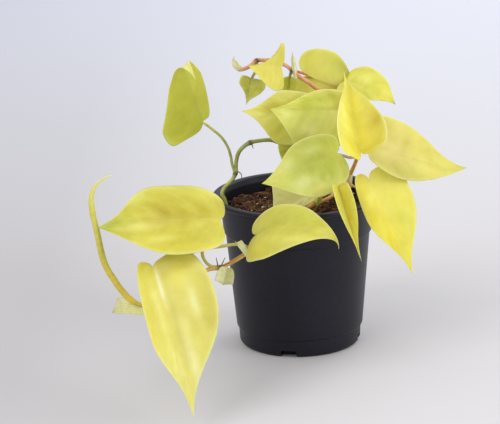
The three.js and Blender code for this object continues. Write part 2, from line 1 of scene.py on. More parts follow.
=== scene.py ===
# %% [markdown]
# # A golden heartleaf philodendron in a nursery pot
# The object is a young climbing plant with lemon-lime leaves in a dark plastic pot, 12 cm across.
# Three slim vines come out of the soil: a green one bends to the left, a tall orange-red one arches
# over the top, and an orange one hangs over the front of the rim.
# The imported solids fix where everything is. This lesson dresses each of them with a finer surface
# of the same form, and gives every surface a finish made of shader nodes.

# %% Load the frame
import bpy
import numpy as np
from mathutils import Matrix, Vector


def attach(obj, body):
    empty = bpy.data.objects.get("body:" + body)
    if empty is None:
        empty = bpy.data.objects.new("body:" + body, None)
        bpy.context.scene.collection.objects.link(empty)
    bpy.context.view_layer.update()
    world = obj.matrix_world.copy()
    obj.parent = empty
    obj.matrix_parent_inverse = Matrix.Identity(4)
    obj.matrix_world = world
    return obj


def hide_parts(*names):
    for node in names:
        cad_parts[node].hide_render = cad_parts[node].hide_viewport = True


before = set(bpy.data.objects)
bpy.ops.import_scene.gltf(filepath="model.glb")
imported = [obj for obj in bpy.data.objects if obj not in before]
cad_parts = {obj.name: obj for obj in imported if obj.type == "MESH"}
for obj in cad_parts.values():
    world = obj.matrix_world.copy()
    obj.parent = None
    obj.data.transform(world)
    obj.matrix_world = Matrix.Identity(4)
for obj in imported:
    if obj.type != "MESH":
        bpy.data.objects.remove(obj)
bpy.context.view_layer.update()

MM = 0.001


def show(name, data):
    """A new object of the scene."""
    thing = bpy.data.objects.new(name, data)
    bpy.context.scene.collection.objects.link(thing)
    return thing


# %% [markdown]
# ## The camera
# The plant was photographed from a little above, with a long lens, so its outlines hardly converge.
# A camera is a place and three directions. Here the view direction comes from an elevation angle,
# and a small roll about it sets the tilt of the picture. The lens is as long as the frame needs:
# a focal length of 2200 pixels, 500 to the width, is a lens of 158 mm on a sensor of 36 mm.

# %% Camera
LOOK_AT = np.array([-33.5, 0.0, 95.3])
CAMERA_DISTANCE = 1560.0
CAMERA_ELEVATION = np.radians(16.1)
CAMERA_ROLL = np.radians(-1.67)
SENSOR = 36.0
FOCAL_PIXELS = 2200
PICTURE_WIDTH = 500
LENS = SENSOR * FOCAL_PIXELS / PICTURE_WIDTH


def place_camera():
    """Back points from the target to the camera; right and up are turned about it by the roll."""
    tilt, roll = CAMERA_ELEVATION, CAMERA_ROLL
    back = np.array([0, -np.cos(tilt), np.sin(tilt)])
    level_up = np.array([0, np.sin(tilt), np.cos(tilt)])
    level_right = np.array([1.0, 0, 0])
    right = np.cos(roll) * level_right + np.sin(roll) * level_up
    up = -np.sin(roll) * level_right + np.cos(roll) * level_up
    camera = show("camera", bpy.data.cameras.new("camera"))
    camera.data.sensor_width = SENSOR
    camera.data.lens = LENS
    place = (LOOK_AT + CAMERA_DISTANCE * back) * MM
    turn = Matrix(np.column_stack([right, up, back]).tolist()).to_4x4()
    camera.matrix_world = Matrix.Translation(place.tolist()) @ turn
    bpy.context.scene.camera = camera
    return camera


camera = place_camera()
print("camera at", [round(x, 3) for x in camera.matrix_world.translation], "lens", round(LENS, 1))

# %% [markdown]
# ## Shader helpers
# Every finish is a small graph of nodes. A helper that places a node and plugs its inputs in one
# line keeps such a graph readable. Colours are written as the eye sees them, in hexadecimal, and
# are turned into the linear light that the renderer counts with.

# %% Shader helpers


def light_of(colour, alpha=1.0):
    """Linear red, green and blue of a hex colour: the screen's curve undone."""
    parts = np.array([int(colour[i : i + 2], 16) for i in (1, 3, 5)]) / 255
    linear = np.where(parts <= 0.04045, parts / 12.92, ((parts + 0.055) / 1.055) ** 2.4)
    return (*linear.tolist(), alpha)


def put(tree, kind, *inputs, **settings):
    """Adds a node. Inputs are plugged in order: sockets are linked, values are set, None is skipped."""
    node = tree.nodes.new(kind)
    for key, value in settings.items():
        setattr(node, key, value)
    for socket, value in zip(node.inputs, inputs):
        plug(tree, socket, value)
    return node


def plug(tree, socket, value):
    """Links a socket or sets a plain value."""
    if isinstance(value, bpy.types.NodeSocket):
        tree.links.new(value, socket)
    elif value is not None:
        socket.default_value = value


def sums(tree, operation, *inputs):
    """One step of arithmetic."""
    return put(tree, "ShaderNodeMath", *inputs, operation=operation).outputs[0]


def blend(tree, share, first, second, how="MIX"):
    """Mixes two colours by a share."""
    gap = (None,) * 5
    node = put(tree, "ShaderNodeMix", share, *gap, first, second, data_type="RGBA", blend_type=how)
    return node.outputs[2]


def tinge(tree, colour, value, strength, hue):
    """Turns a colour towards a hue, as far as a value times a strength says."""
    return blend(tree, sums(tree, "MULTIPLY", value, strength), colour, light_of(hue))


def times(tree, colour, hue):
    """A colour seen through a hue: the two multiplied."""
    return blend(tree, 1.0, colour, light_of(hue), "MULTIPLY")


def between(tree, value, low, high, to_low=0.0, to_high=1.0):
    """Maps a range to another, held at both ends."""
    return put(tree, "ShaderNodeMapRange", value, low, high, to_low, to_high).outputs[0]


def attribute(tree, name, output="Fac"):
    """A value that the mesh carries at its points."""
    return put(tree, "ShaderNodeAttribute", attribute_name=name).outputs[output]


def start_material(name, **constants):
    """A material with one Principled shader, whose plain values are set on its own sockets, and the
    point on the object, in metres from its origin."""
    material = bpy.data.materials.new(name)
    material.use_nodes = True
    shader = material.node_tree.nodes["Principled BSDF"]
    for key, value in constants.items():
        shader.inputs[key.replace("_", " ")].default_value = value
    tree = material.node_tree
    return material, tree, shader, put(tree, "ShaderNodeTexCoord").outputs["Object"]


# %% [markdown]
# ## Two shared effects
# Living things are never one flat colour. A slow mottle varies the tint over some millimetres, and
# a fine grain gives the skin its tooth. Both are wanted on leaves, stems, plastic and soil, so each
# is a node group, built once, with its scale and strength as inputs.

# %% Shared effects


def start_group(name, inputs, outputs):
    """A shader node group with float inputs (name, value), a vector input and float outputs."""
    group = bpy.data.node_groups.new(name, "ShaderNodeTree")
    group.interface.new_socket("Place", in_out="INPUT", socket_type="NodeSocketVector")
    for key, value in inputs:
        socket = group.interface.new_socket(key, in_out="INPUT", socket_type="NodeSocketFloat")
        socket.default_value = value
    for key in outputs:
        group.interface.new_socket(key, in_out="OUTPUT", socket_type="NodeSocketFloat")
    return group, group.nodes.new("NodeGroupInput"), group.nodes.new("NodeGroupOutput")


def noise(tree, place, scale, detail):
    """Smooth noise between 0 and 1 at a point."""
    node = put(tree, "ShaderNodeTexNoise", place)
    plug(tree, node.inputs["Scale"], scale)
    node.inputs["Detail"].default_value = detail
    return node.outputs[0]


def mottle_group():
    """Soft blotches between 0 and 1: noise stretched about its middle by the contrast."""
    group, inside, outside = start_group("mottle", [("Scale", 60.0), ("Contrast", 2.0)], ["Blotches"])
    spots = noise(group, inside.outputs["Place"], inside.outputs["Scale"], 3.0)
    centred = sums(group, "SUBTRACT", spots, 0.5)
    wide = sums(group, "MULTIPLY_ADD", centred, inside.outputs["Contrast"], 0.5)
    plug(group, outside.inputs["Blotches"], put(group, "ShaderNodeClamp", wide).outputs[0])
    return group


def grain_group():
    """A height of small cells and finer noise, for skin, paper and moulded plastic."""
    group, inside, outside = start_group("grain", [("Scale", 900.0), ("Cells", 0.5)], ["Height"])
    cells = put(group, "ShaderNodeTexVoronoi", inside.outputs["Place"], feature="SMOOTH_F1")
    plug(group, cells.inputs["Scale"], inside.outputs["Scale"])
    finer = sums(group, "MULTIPLY", inside.outputs["Scale"], 1.7)
    fine = noise(group, inside.outputs["Place"], finer, 2.0)
    difference = sums(group, "SUBTRACT", cells.outputs["Distance"], fine)
    height = sums(group, "MULTIPLY_ADD", difference, inside.outputs["Cells"], fine)
    plug(group, outside.inputs["Height"], height)
    return group


MOTTLE = mottle_group()
GRAIN = grain_group()


def effect(tree, group, place, *values):
    """Places a shared effect in a material and gives its first output."""
    return put(tree, "ShaderNodeGroup", place, *values, node_tree=group).outputs[0]


def finish(tree, shader, colour, height, distance, strength):
    """Gives the shader its colour and, on its normal, a bump of that height in metres."""
    plug(tree, shader.inputs["Base Color"], colour)
    bump = tree.nodes.new("ShaderNodeBump")
    bump.inputs["Strength"].default_value = strength
    bump.inputs["Distance"].default_value = distance
    plug(tree, bump.inputs["Height"], height)
    plug(tree, shader.inputs["Normal"], bump.outputs[0])


print("shared effects:", MOTTLE.name, GRAIN.name)

# %% [markdown]
# ## Leaf skin
# A golden leaf holds little green, so light shines through it and it looks lit from inside. Its
# upper side has a soft gloss, its underside is duller and more olive, and the veins are paler. The
# thin margin is paler too, partly its own colour and partly a painted edge highlight. Between the
# veins the skin is drawn in faint streaks that run with them. The mesh brings its own tint, with some
# painted light and shade in it, how much a point is vein, how near the margin it is, which side it is
# on, and its place on the blade, along and across the veins. The shader lets light scatter a
# millimetre inside.

# %% Leaf skin


def leaf_material():
    """Tint from the mesh, mottled and streaked, paler on veins and margin, duller underneath."""
    material, tree, shader, place = start_material(
        "leaf_skin", Roughness=0.45, Subsurface_Weight=0.5, Subsurface_Radius=(1.0, 0.9, 0.25),
        Subsurface_Scale=0.0016, Specular_IOR_Level=0.45)
    tint = attribute(tree, "tint", "Color")
    vein = attribute(tree, "vein")
    under = attribute(tree, "under")
    edge = attribute(tree, "edge")
    blotches = effect(tree, MOTTLE, place, 75.0, 2.2)
    streaks = effect(tree, MOTTLE, attribute(tree, "blade", "Vector"), 7.0, 2.4)
    specks = effect(tree, MOTTLE, place, 700.0, 3.0)
    deeper = times(tree, tint, "#dfd9a4")
    colour = blend(tree, sums(tree, "MULTIPLY", blotches, 0.6), tint, deeper)
    colour = tinge(tree, colour, streaks, 0.34, "#ece474")
    colour = tinge(tree, colour, specks, 0.06, "#b6c04a")
    colour = tinge(tree, colour, vein, 0.07, "#e9e59a")
    # the paler margin: partly the thin margin's own colour, partly a painted edge highlight
    colour = tinge(tree, colour, edge, 0.5, "#f3efb4")
    dull = times(tree, colour, "#e4e6ca")
    colour = blend(tree, under, colour, dull)
    rough = sums(tree, "MULTIPLY_ADD", blotches, 0.12, 0.36)
    plug(tree, shader.inputs["Roughness"], sums(tree, "MULTIPLY_ADD", under, 0.2, rough))
    height = sums(tree, "MULTIPLY_ADD", streaks, 11.0, effect(tree, GRAIN, place, 1500.0, 0.6))
    finish(tree, shader, colour, height, 0.00006, 0.5)
    return material


LEAF_SKIN = leaf_material()
print("finish:", LEAF_SKIN.name)

# %% [markdown]
# ## Stem, root and sheath finishes
# A stem's skin is smooth and a little waxy, with fine lines that run along it and a darker ring at
# each node. One maker of finishes serves all vines; the mesh brings the tint of each stretch. The sheaths
# that wrapped the young leaves dry to thin pale paper with long veins and brown tips.

# %% Stem, root and sheath finishes


def stem_material(name, dark):
    """The tint that the mesh brings, blushed in blotches, and dark where it says node, scar or root."""
    material, tree, shader, place = start_material(
        name, Subsurface_Weight=0.25, Subsurface_Radius=(1.0, 0.7, 0.3), Subsurface_Scale=0.001,
    )
    tint = attribute(tree, "tint", "Color")
    blush = effect(tree, MOTTLE, place, 140.0, 2.6)
    flecks = effect(tree, MOTTLE, place, 1100.0, 4.0)
    deeper = times(tree, tint, "#cdb894")
    colour = blend(tree, sums(tree, "MULTIPLY", blush, 0.7), tint, deeper)
    colour = tinge(tree, colour, flecks, 0.12, dark)
    colour = blend(tree, attribute(tree, "shade"), colour, light_of(dark))
    plug(tree, shader.inputs["Roughness"], sums(tree, "MULTIPLY_ADD", flecks, 0.2, 0.38))
    lines = put(tree, "ShaderNodeTexWave", attribute(tree, "around", "Vector"), bands_direction="X")
    lines.inputs["Scale"].default_value = 5.0
    lines.inputs["Distortion"].default_value = 2.0
    height = sums(tree, "MULTIPLY_ADD", lines.outputs[1], 0.5, effect(tree, GRAIN, place, 1300.0, 0.4))
    finish(tree, shader, colour, height, 0.00008, 0.5)
    return material


def sheath_material():
    """Pale paper with long veins across its breadth, browned where the mesh says so."""
    material, tree, shader, place = start_material(
        "sheath_paper", Roughness=0.55, Subsurface_Weight=0.5, Subsurface_Radius=(1.0, 0.9, 0.5),
        Subsurface_Scale=0.001,
    )
    blotches = effect(tree, MOTTLE, place, 260.0, 2.6)
    vein = attribute(tree, "vein")
    tint = attribute(tree, "tint", "Color")
    deeper = times(tree, tint, "#e8ecc4")
    colour = blend(tree, blotches, tint, deeper)
    colour = tinge(tree, colour, vein, 0.42, "#aeb45e")
    colour = blend(tree, attribute(tree, "shade"), colour, light_of("#7a5f34"))
    height = sums(tree, "MULTIPLY_ADD", vein, 0.6, effect(tree, GRAIN, place, 900.0, 0.5))
    finish(tree, shader, colour, height, 0.00012, 0.6)
    return material


STEM_SKINS = {
    "vine_left": stem_material("stem_green_skin", "#4f4030"),
    "vine_tall": stem_material("stem_red_skin", "#3f2a20"),
    "vine_trailing": stem_material("stem_orange_skin", "#54402a"),
}
SHEATH_PAPER = sheath_material()
print("finishes:", [m.name for m in STEM_SKINS.values()], SHEATH_PAPER.name)

# %% [markdown]
# ## Meshes from arrays
# Every form below is worked out as whole arrays of points, on a grid of rows and columns. A class
# joins loose parts into one list of points and faces and writes the mesh with the values that the
# finishes read. Round forms are rings of points, joined in order and closed by a pole at each end.

# %% Meshes from arrays


class Parts:
    """Points, quads and triangles of several closed forms, with named values for each point."""

    def __init__(self):
        self.points, self.quads, self.triangles, self.values, self.count = [], [], [], {}, 0

    def add(self, points, quads=(), triangles=(), **values):
        """Adds a form; its faces' numbers move on by the points that are there already."""
        self.points.append(points)
        self.quads.append(np.asarray(quads, int).reshape(-1, 4) + self.count)
        self.triangles.append(np.asarray(triangles, int).reshape(-1, 3) + self.count)
        for key, value in values.items():
            self.values.setdefault(key, []).append(value)
        self.count += len(points)

    def make(self, name, material, slot, *replaced):
        """Writes the mesh in metres, hides the solids that it replaces and attaches it to the root body.
        """
        points = np.concatenate(self.points) * MM
        quads, triangles = np.concatenate(self.quads), np.concatenate(self.triangles)
        loops = np.concatenate([quads.ravel(), triangles.ravel()])
        sizes = np.concatenate([np.full(len(quads), 4), np.full(len(triangles), 3)])
        mesh = bpy.data.meshes.new(name)
        mesh.vertices.add(len(points))
        mesh.vertices.foreach_set("co", points.astype(np.float32).ravel())
        mesh.loops.add(len(loops))
        mesh.loops.foreach_set("vertex_index", loops.astype(np.int32))
        mesh.polygons.add(len(sizes))
        mesh.polygons.foreach_set("loop_start", (np.cumsum(sizes) - sizes).astype(np.int32))
        mesh.polygons.foreach_set("use_smooth", np.ones(len(sizes), bool))
        mesh.update(calc_edges=True)
        for key, value in self.values.items():
            self.write(mesh, key, np.concatenate(value))
        mesh.materials.append(material)
        piece = show(name, mesh)
        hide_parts(*replaced)
        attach(piece, "root")
        return piece

    @staticmethod
    def write(mesh, key, value):
        """A float, vector or colour for each point."""
        kind = {1: "FLOAT", 3: "FLOAT_VECTOR", 4: "FLOAT_COLOR"}[1 if value.ndim == 1 else value.shape[1]]
        field = {"FLOAT": "value", "FLOAT_VECTOR": "vector", "FLOAT_COLOR": "color"}[kind]
        mesh.attributes.new(key, kind, "POINT").data.foreach_set(field, value.astype(np.float32).ravel())


def single(name, material, slot, replaced, points, quads=(), triangles=(), **values):
    """A piece of one form only."""
    parts = Parts()
    parts.add(points, quads, triangles, **values)
    return parts.make(name, material, slot, replaced)


def grid_quads(rows, columns):
    """The quads of a grid: corner, next along the row, the one after it in the next row, below."""
    corner = (np.arange(rows - 1)[:, None] * columns + np.arange(columns - 1)).ravel()
    return np.stack([corner, corner + 1, corner + columns + 1, corner + columns], axis=1)


def circle(count):
    """Directions of length one to so many points, evenly round the upright axis."""
    angle = 2 * np.pi * np.arange(count) / count
    return np.stack([np.cos(angle), np.sin(angle)], axis=1)


def carried_round(profile, count):
    """Rings of points: a profile of (radius, height), carried round the upright axis."""
    heights = np.broadcast_to(profile[:, None, 1:], (len(profile), count, 1))
    return np.concatenate([profile[:, None, :1] * circle(count)[None], heights], axis=2)


def closed_rings(body, poles):
    """Points and faces of rings that are joined in order and closed by a fan round each pole."""
    rows, count = body.shape[:2]
    first = np.arange(count)
    beside = np.roll(first, -1)
    start, last = np.arange(rows - 1)[:, None] * count, (rows - 1) * count
    corner, next_to = start + first, start + beside
    quads = np.stack([corner, next_to, next_to + count, corner + count], axis=2)
    ends = np.concatenate([
        np.stack([beside, first, np.full(count, rows * count)], axis=1),
        np.stack([last + first, last + beside, np.full(count, rows * count + 1)], axis=1),
    ])
    return np.concatenate([body.reshape(-1, 3), poles]), quads.reshape(-1, 4), ends


def unit(vectors):
    """Vectors of length one."""
    return vectors / np.maximum(np.linalg.norm(vectors, axis=-1, keepdims=True), 1e-12)


def smooth_step(x):
    """Rises from 0 to 1 with level ends: three x squared less two x cubed."""
    x = np.clip(x, 0, 1)
    return x * x * (3 - 2 * x)


# %% [markdown]
# ## The heart-shaped blade
# A leaf grows as a flat heart, then folds along its midrib, cups, arches and waves. So the form is
# built the same way: an outline of two curves to a side, rows that fan out from the midrib as the
# veins do, and a lift above the leaf's plane. The plane bends along the midrib's arc. A sculpted
# mesh could look as good, but here one formula serves all eighteen leaves with their own measures.

# %% Outline and rows of a blade
LOBE_SHARE = 0.32
DRIP_START = 0.5
DRIP_END = 0.92
CURL_START = 0.6
SOFT_FOLD = 0.05
RIB_STEPS = 400


def bezier(t, corners):
    """A cubic curve: four corners weighted by the cubic terms of t and one less t."""
    t = t[..., None]
    a, b, c, d = (np.array(corner, float) for corner in corners)
    return (1 - t) ** 3 * a + 3 * (1 - t) ** 2 * t * b + 3 * (1 - t) * t**2 * c + t**3 * d


def half_outline(t, lobe, wide, taper, shoulder, drip, pull):
    """From the back of the lobe, over its widest place, to the tip, one long and one wide.

    From DRIP_START on it is pinched, by up to the share `drip`, to a long tip that water runs off."""
    behind = np.clip(t / LOBE_SHARE, 0, 1)
    back = bezier(behind, [(-lobe, 0.44), (-lobe, 0.8), (wide - 0.24, 1), (wide, 1)])
    ahead = np.clip((t - LOBE_SHARE) / (1 - LOBE_SHARE), 0, 1)
    flank = bezier(ahead, [(wide, 1), (wide + shoulder, 1), (pull, taper), (1, 0)])
    outline = np.where((t < LOBE_SHARE)[..., None], back, flank)
    pinch = 1 - drip * smooth_step((outline[..., 0] - DRIP_START) / (DRIP_END - DRIP_START))
    return np.stack([outline[..., 0], outline[..., 1] * pinch], axis=-1)


def half_plan(t, v, side):
    """Rows from the midrib to the outline; near the sinus they first follow it backwards."""
    edge = half_outline(t, **side)
    rib = np.stack([t**1.15, np.zeros_like(t)], axis=-1)
    sinus = ((1 - t) ** 5)[..., None]
    bend = (1 - sinus) * (rib + edge) / 2 + sinus * np.array([-side["lobe"] * 1.05, 0.03])
    v = v[..., None]
    return (1 - v) ** 2 * rib + 2 * v * (1 - v) * bend + v**2 * edge


def rib_slope(leaf, share):
    """The midrib's slope falls evenly by the arch and turns by the curl over its last part."""
    turn = smooth_step((share - CURL_START) / (1 - CURL_START))
    return leaf["arch"] * (0.5 - share) + leaf["curl"] * turn


def facing(azimuth, elevation):
    """A direction from its azimuth, 0 to the front and 90 to the right, and its elevation."""
    a, e = np.radians(azimuth), np.radians(elevation)
    return np.array([np.sin(a) * np.cos(e), -np.cos(a) * np.cos(e), np.sin(e)])


def midrib(leaf, u):
    """Point, side direction and normal of the midrib at the shares u of its length.

    The slopes are added up to an arc, which is turned and stretched to end at the leaf's tip."""
    base, tip = np.array(leaf["base"], float), np.array(leaf["tip"], float)
    along = unit(tip - base)
    up = facing(*leaf["face"])
    up = unit(up - up @ along * along)
    side = np.cross(along, up)
    slopes = rib_slope(leaf, (np.arange(RIB_STEPS) + 0.5) / RIB_STEPS)
    xs = np.concatenate([[0], np.cumsum(np.cos(slopes))]) / RIB_STEPS
    zs = np.concatenate([[0], np.cumsum(np.sin(slopes))]) / RIB_STEPS
    tilt = np.arctan2(zs[-1], xs[-1])
    length = np.linalg.norm(tip - base) / np.hypot(xs[-1], zs[-1])
    share = np.clip(u, 0, 1)
    slope = rib_slope(leaf, share) - tilt
    shares = np.linspace(0, 1, RIB_STEPS + 1)
    x, z = np.interp(share, shares, xs), np.interp(share, shares, zs)
    behind = np.minimum(u, 0)
    forward = (x * np.cos(tilt) + z * np.sin(tilt) + behind * np.cos(slope)) * length
    rise = (z * np.cos(tilt) - x * np.sin(tilt) + behind * np.sin(slope)) * length
    sway = leaf["sway"] * 4 * share * (1 - share)
    point = base + forward[..., None] * along + rise[..., None] * up + sway[..., None] * side
    slope, twist = slope[..., None], (leaf["twist"] * (share - 0.5))[..., None]
    normal = np.cos(slope) * up - np.sin(slope) * along
    turned = np.cos(twist) * side + np.sin(twist) * normal
    return point, turned, np.cos(twist) * normal - np.sin(twist) * side


plain_side = dict(lobe=0.09, wide=0.22, taper=0.16, shoulder=0.27, drip=0.4, pull=0.74)
print("widest place of a plain outline:", half_outline(np.array([LOBE_SHARE]), **plain_side))

# %% [markdown]
# ## Veins and relief
# On a heartleaf the side veins leave the midrib at a slant and sweep forward to the margin. On the
# real leaf they are sunk a little into the upper side, with the skin puffed up between them, and the
# midrib stands out underneath as a thin rib that carries on from the leaf stalk. Depths of a tenth
# or two of a millimetre are enough to catch the light, so this relief is real geometry. Besides it,
# a leaf may have a few dents and swells of its own, up to a millimetre or so.

# %% Veins and relief
BLADE_ROWS = 84
BLADE_COLUMNS = 22
BLADE_HALF = 0.17
VEINS = 7.0
PUFF = 0.16
VEIN_DEPTH = 0.05
VEIN_SWEEP = 0.13


def vein_field(t, v, wide):
    """Side veins and midrib between 0 and 1. A vein is where t less its sweep meets a whole seventh."""
    phase = VEINS * (t - VEIN_SWEEP * v**1.6) + 0.35
    off = np.abs(phase - np.round(phase))
    side_veins = np.exp(-((off / 0.07) ** 2)) * (1 - v**3) * smooth_step(v / 0.04)
    rib = np.exp(-((wide / 0.8) ** 2))
    return np.maximum(rib, 0.7 * side_veins), phase


def bells(spots, u, wide):
    """Each spot's value, and how near to it every point is: e to the power of less the squares of its
    distances along the blade and across it in millimetres, each divided by the spot's own reach."""
    for along, beside, long, broad, value in spots:
        yield np.exp(-(((u - along) / long) ** 2) - ((wide - beside) / broad) ** 2), value


def blade_surface(leaf, hand, t, v):
    """One half of the middle surface of a blade, with its vein field and its distance from the rib.

    Lift = width times (soft fold less the cup times across squared, plus waves), and small relief:
    puffs between the veins, sunk veins, a rippled margin, and the leaf's own soft dents and swells."""
    plan = half_plan(t, v, leaf["sides"][hand])
    u, across = plan[..., 0], plan[..., 1]
    point, side, normal = midrib(leaf, u)
    width = leaf["half"][hand]
    soft = np.hypot(across, SOFT_FOLD) - SOFT_FOLD
    wave = leaf["wave"] * across**2 * np.sin(2 * np.pi * leaf["waves"] * u + hand)
    lift = width * (soft * np.sin(leaf["fold"]) - leaf["cup"] * across**2 + wave)
    wide = width * across * (1 if hand else -1)
    vein, phase = vein_field(t, v, width * across)
    puff = 0.5 - 0.5 * np.cos(2 * np.pi * phase)
    size = leaf["relief"]
    lift = lift + size * PUFF * puff * np.sin(np.pi * v) ** 0.7 * smooth_step((1 - t) / 0.25)
    lift = lift - size * VEIN_DEPTH * vein * smooth_step((1 - t) / 0.1)
    ripple = np.sin(9.5 * u + 2.1 * hand + leaf["phase"]) + 0.6 * np.sin(17 * u + 3.7 * leaf["phase"])
    lift = lift + leaf["ripple"] * ripple * v**3 * smooth_step((1 - t) / 0.3)
    for near, height in bells(leaf["dents"], u, wide):
        lift = lift + height * near
    place = point + (wide * np.cos(leaf["fold"]))[..., None] * side + lift[..., None] * normal
    return place, vein, wide, u


def blade_grid(leaf, rows, columns):
    """The left half, mirrored in order, beside the right half: rows by two columns and one."""
    t = np.repeat(np.linspace(0, 1, rows + 1)[:, None], columns + 1, axis=1)
    v = np.repeat(np.linspace(0, 1, columns + 1)[None], rows + 1, axis=0)
    left = blade_surface(leaf, 0, t, v)
    right = blade_surface(leaf, 1, t, v)
    merged = [np.concatenate([a[:, :0:-1], b], axis=1) for a, b in zip(left, right)]
    return (*merged, np.concatenate([v[:, :0:-1], v], axis=1), np.concatenate([t[:, :0:-1], t], axis=1))


def grid_normals(grid):
    """Cross product of the steps along the row and down the column; the tip takes its neighbours'."""
    over = np.gradient(grid, axis=1)
    down = np.gradient(grid, axis=0)
    normals = np.cross(over, down)
    normals[-1] = normals[-2].mean(0)
    return unit(normals)


def shell_faces(rows, columns):
    """Quads and tip fans of both skins of a blade, and the band that closes its edge."""
    quads = grid_quads(rows, columns)
    last = (rows - 1) * columns
    tip = rows * columns
    start = last + np.arange(columns - 1)
    fan = np.stack([start, start + 1, np.full(columns - 1, tip)], axis=1)
    count = tip + 1
    edge = np.concatenate([
        np.arange(columns), (np.arange(1, rows) + 1) * columns - 1, [tip],
        np.arange(rows - 1, 0, -1) * columns,
    ])
    after = np.roll(edge, -1)
    band = np.stack([edge, edge + count, after + count, after], axis=1)
    upper_quads, lower_quads = quads, quads[:, ::-1] + count
    return np.concatenate([upper_quads, lower_quads, band]), np.concatenate([fan, fan[:, ::-1] + count])


def blade_shell(leaf, rows=BLADE_ROWS, columns=BLADE_COLUMNS):
    """Both skins of a blade. It thins to its margin, and the rib stands out of its underside.

    Gives points, quads, fans, the values that the finish reads, and u and v of every point."""
    grid, vein, wide, u, v, t = blade_grid(leaf, rows, columns)
    normals = grid_normals(grid)
    half = leaf["thick"] * (1 - 0.55 * v**6)
    rib = leaf["rib"] * np.exp(-(wide**2)) * np.clip(1 - u, 0, 1) ** 0.7
    upper = grid + normals * half[..., None]
    lower = grid - normals * (half + rib)[..., None]
    upper, lower, vein, wide, u, v, t = (
        np.concatenate([a[:-1].reshape(-1, *a.shape[2:]), a[-1:, columns]])
        for a in (upper, lower, vein, wide, u, v, t))
    tint = leaf_colour_and_light(leaf, u, v, wide)
    blade = [t - VEIN_SWEEP * v**1.6, 0.25 * np.sign(wide) * v, np.full(len(t), leaf["phase"])]
    twice = lambda a: np.concatenate([a, a])
    under = np.repeat([0.0, 1.0], len(t))
    values = {"vein": twice(vein), "edge": twice(v**24), "under": under, "tint": twice(tint),
              "blade": twice(np.stack(blade, axis=1))}
    quads, fans = shell_faces(rows, 2 * columns + 1)
    return np.concatenate([upper, lower]), quads, fans, values, (twice(u), twice(v))


def leaf_colour_and_light(leaf, u, v, wide):
    """The leaf's colour, painted light and shade included: its heart's, turning into its tip's along the
    midrib and towards the margin.

    Each half has its own two, which meet within three millimetres of the midrib; on some leaves one
    half is made lighter than the other as painted light. Soft patches lie on them: place along,
    millimetres beside the midrib, reach along, reach across, and colour. Some patches are the leaf's
    own colour, some are painted highlights, painted shadows or shade lifted by a lighter colour."""
    share = smooth_step(0.75 * u + 0.35 * v**2)[:, None]
    halves = []
    for tints in leaf["tints"]:
        first, last = (np.array(light_of(colour)) for colour in tints.split())
        halves.append((1 - share) * first + share * last)
    right = smooth_step(0.5 + wide / 6)[:, None]
    tint = (1 - right) * halves[0] + right * halves[1]
    for near, colour in bells(leaf["colour_and_light_patches"], u, wide):
        tint = tint + near[:, None] * (np.array(light_of(colour)) - tint)
    return tint


print("one leaf:", 2 * BLADE_ROWS * 2 * BLADE_COLUMNS, "quads")
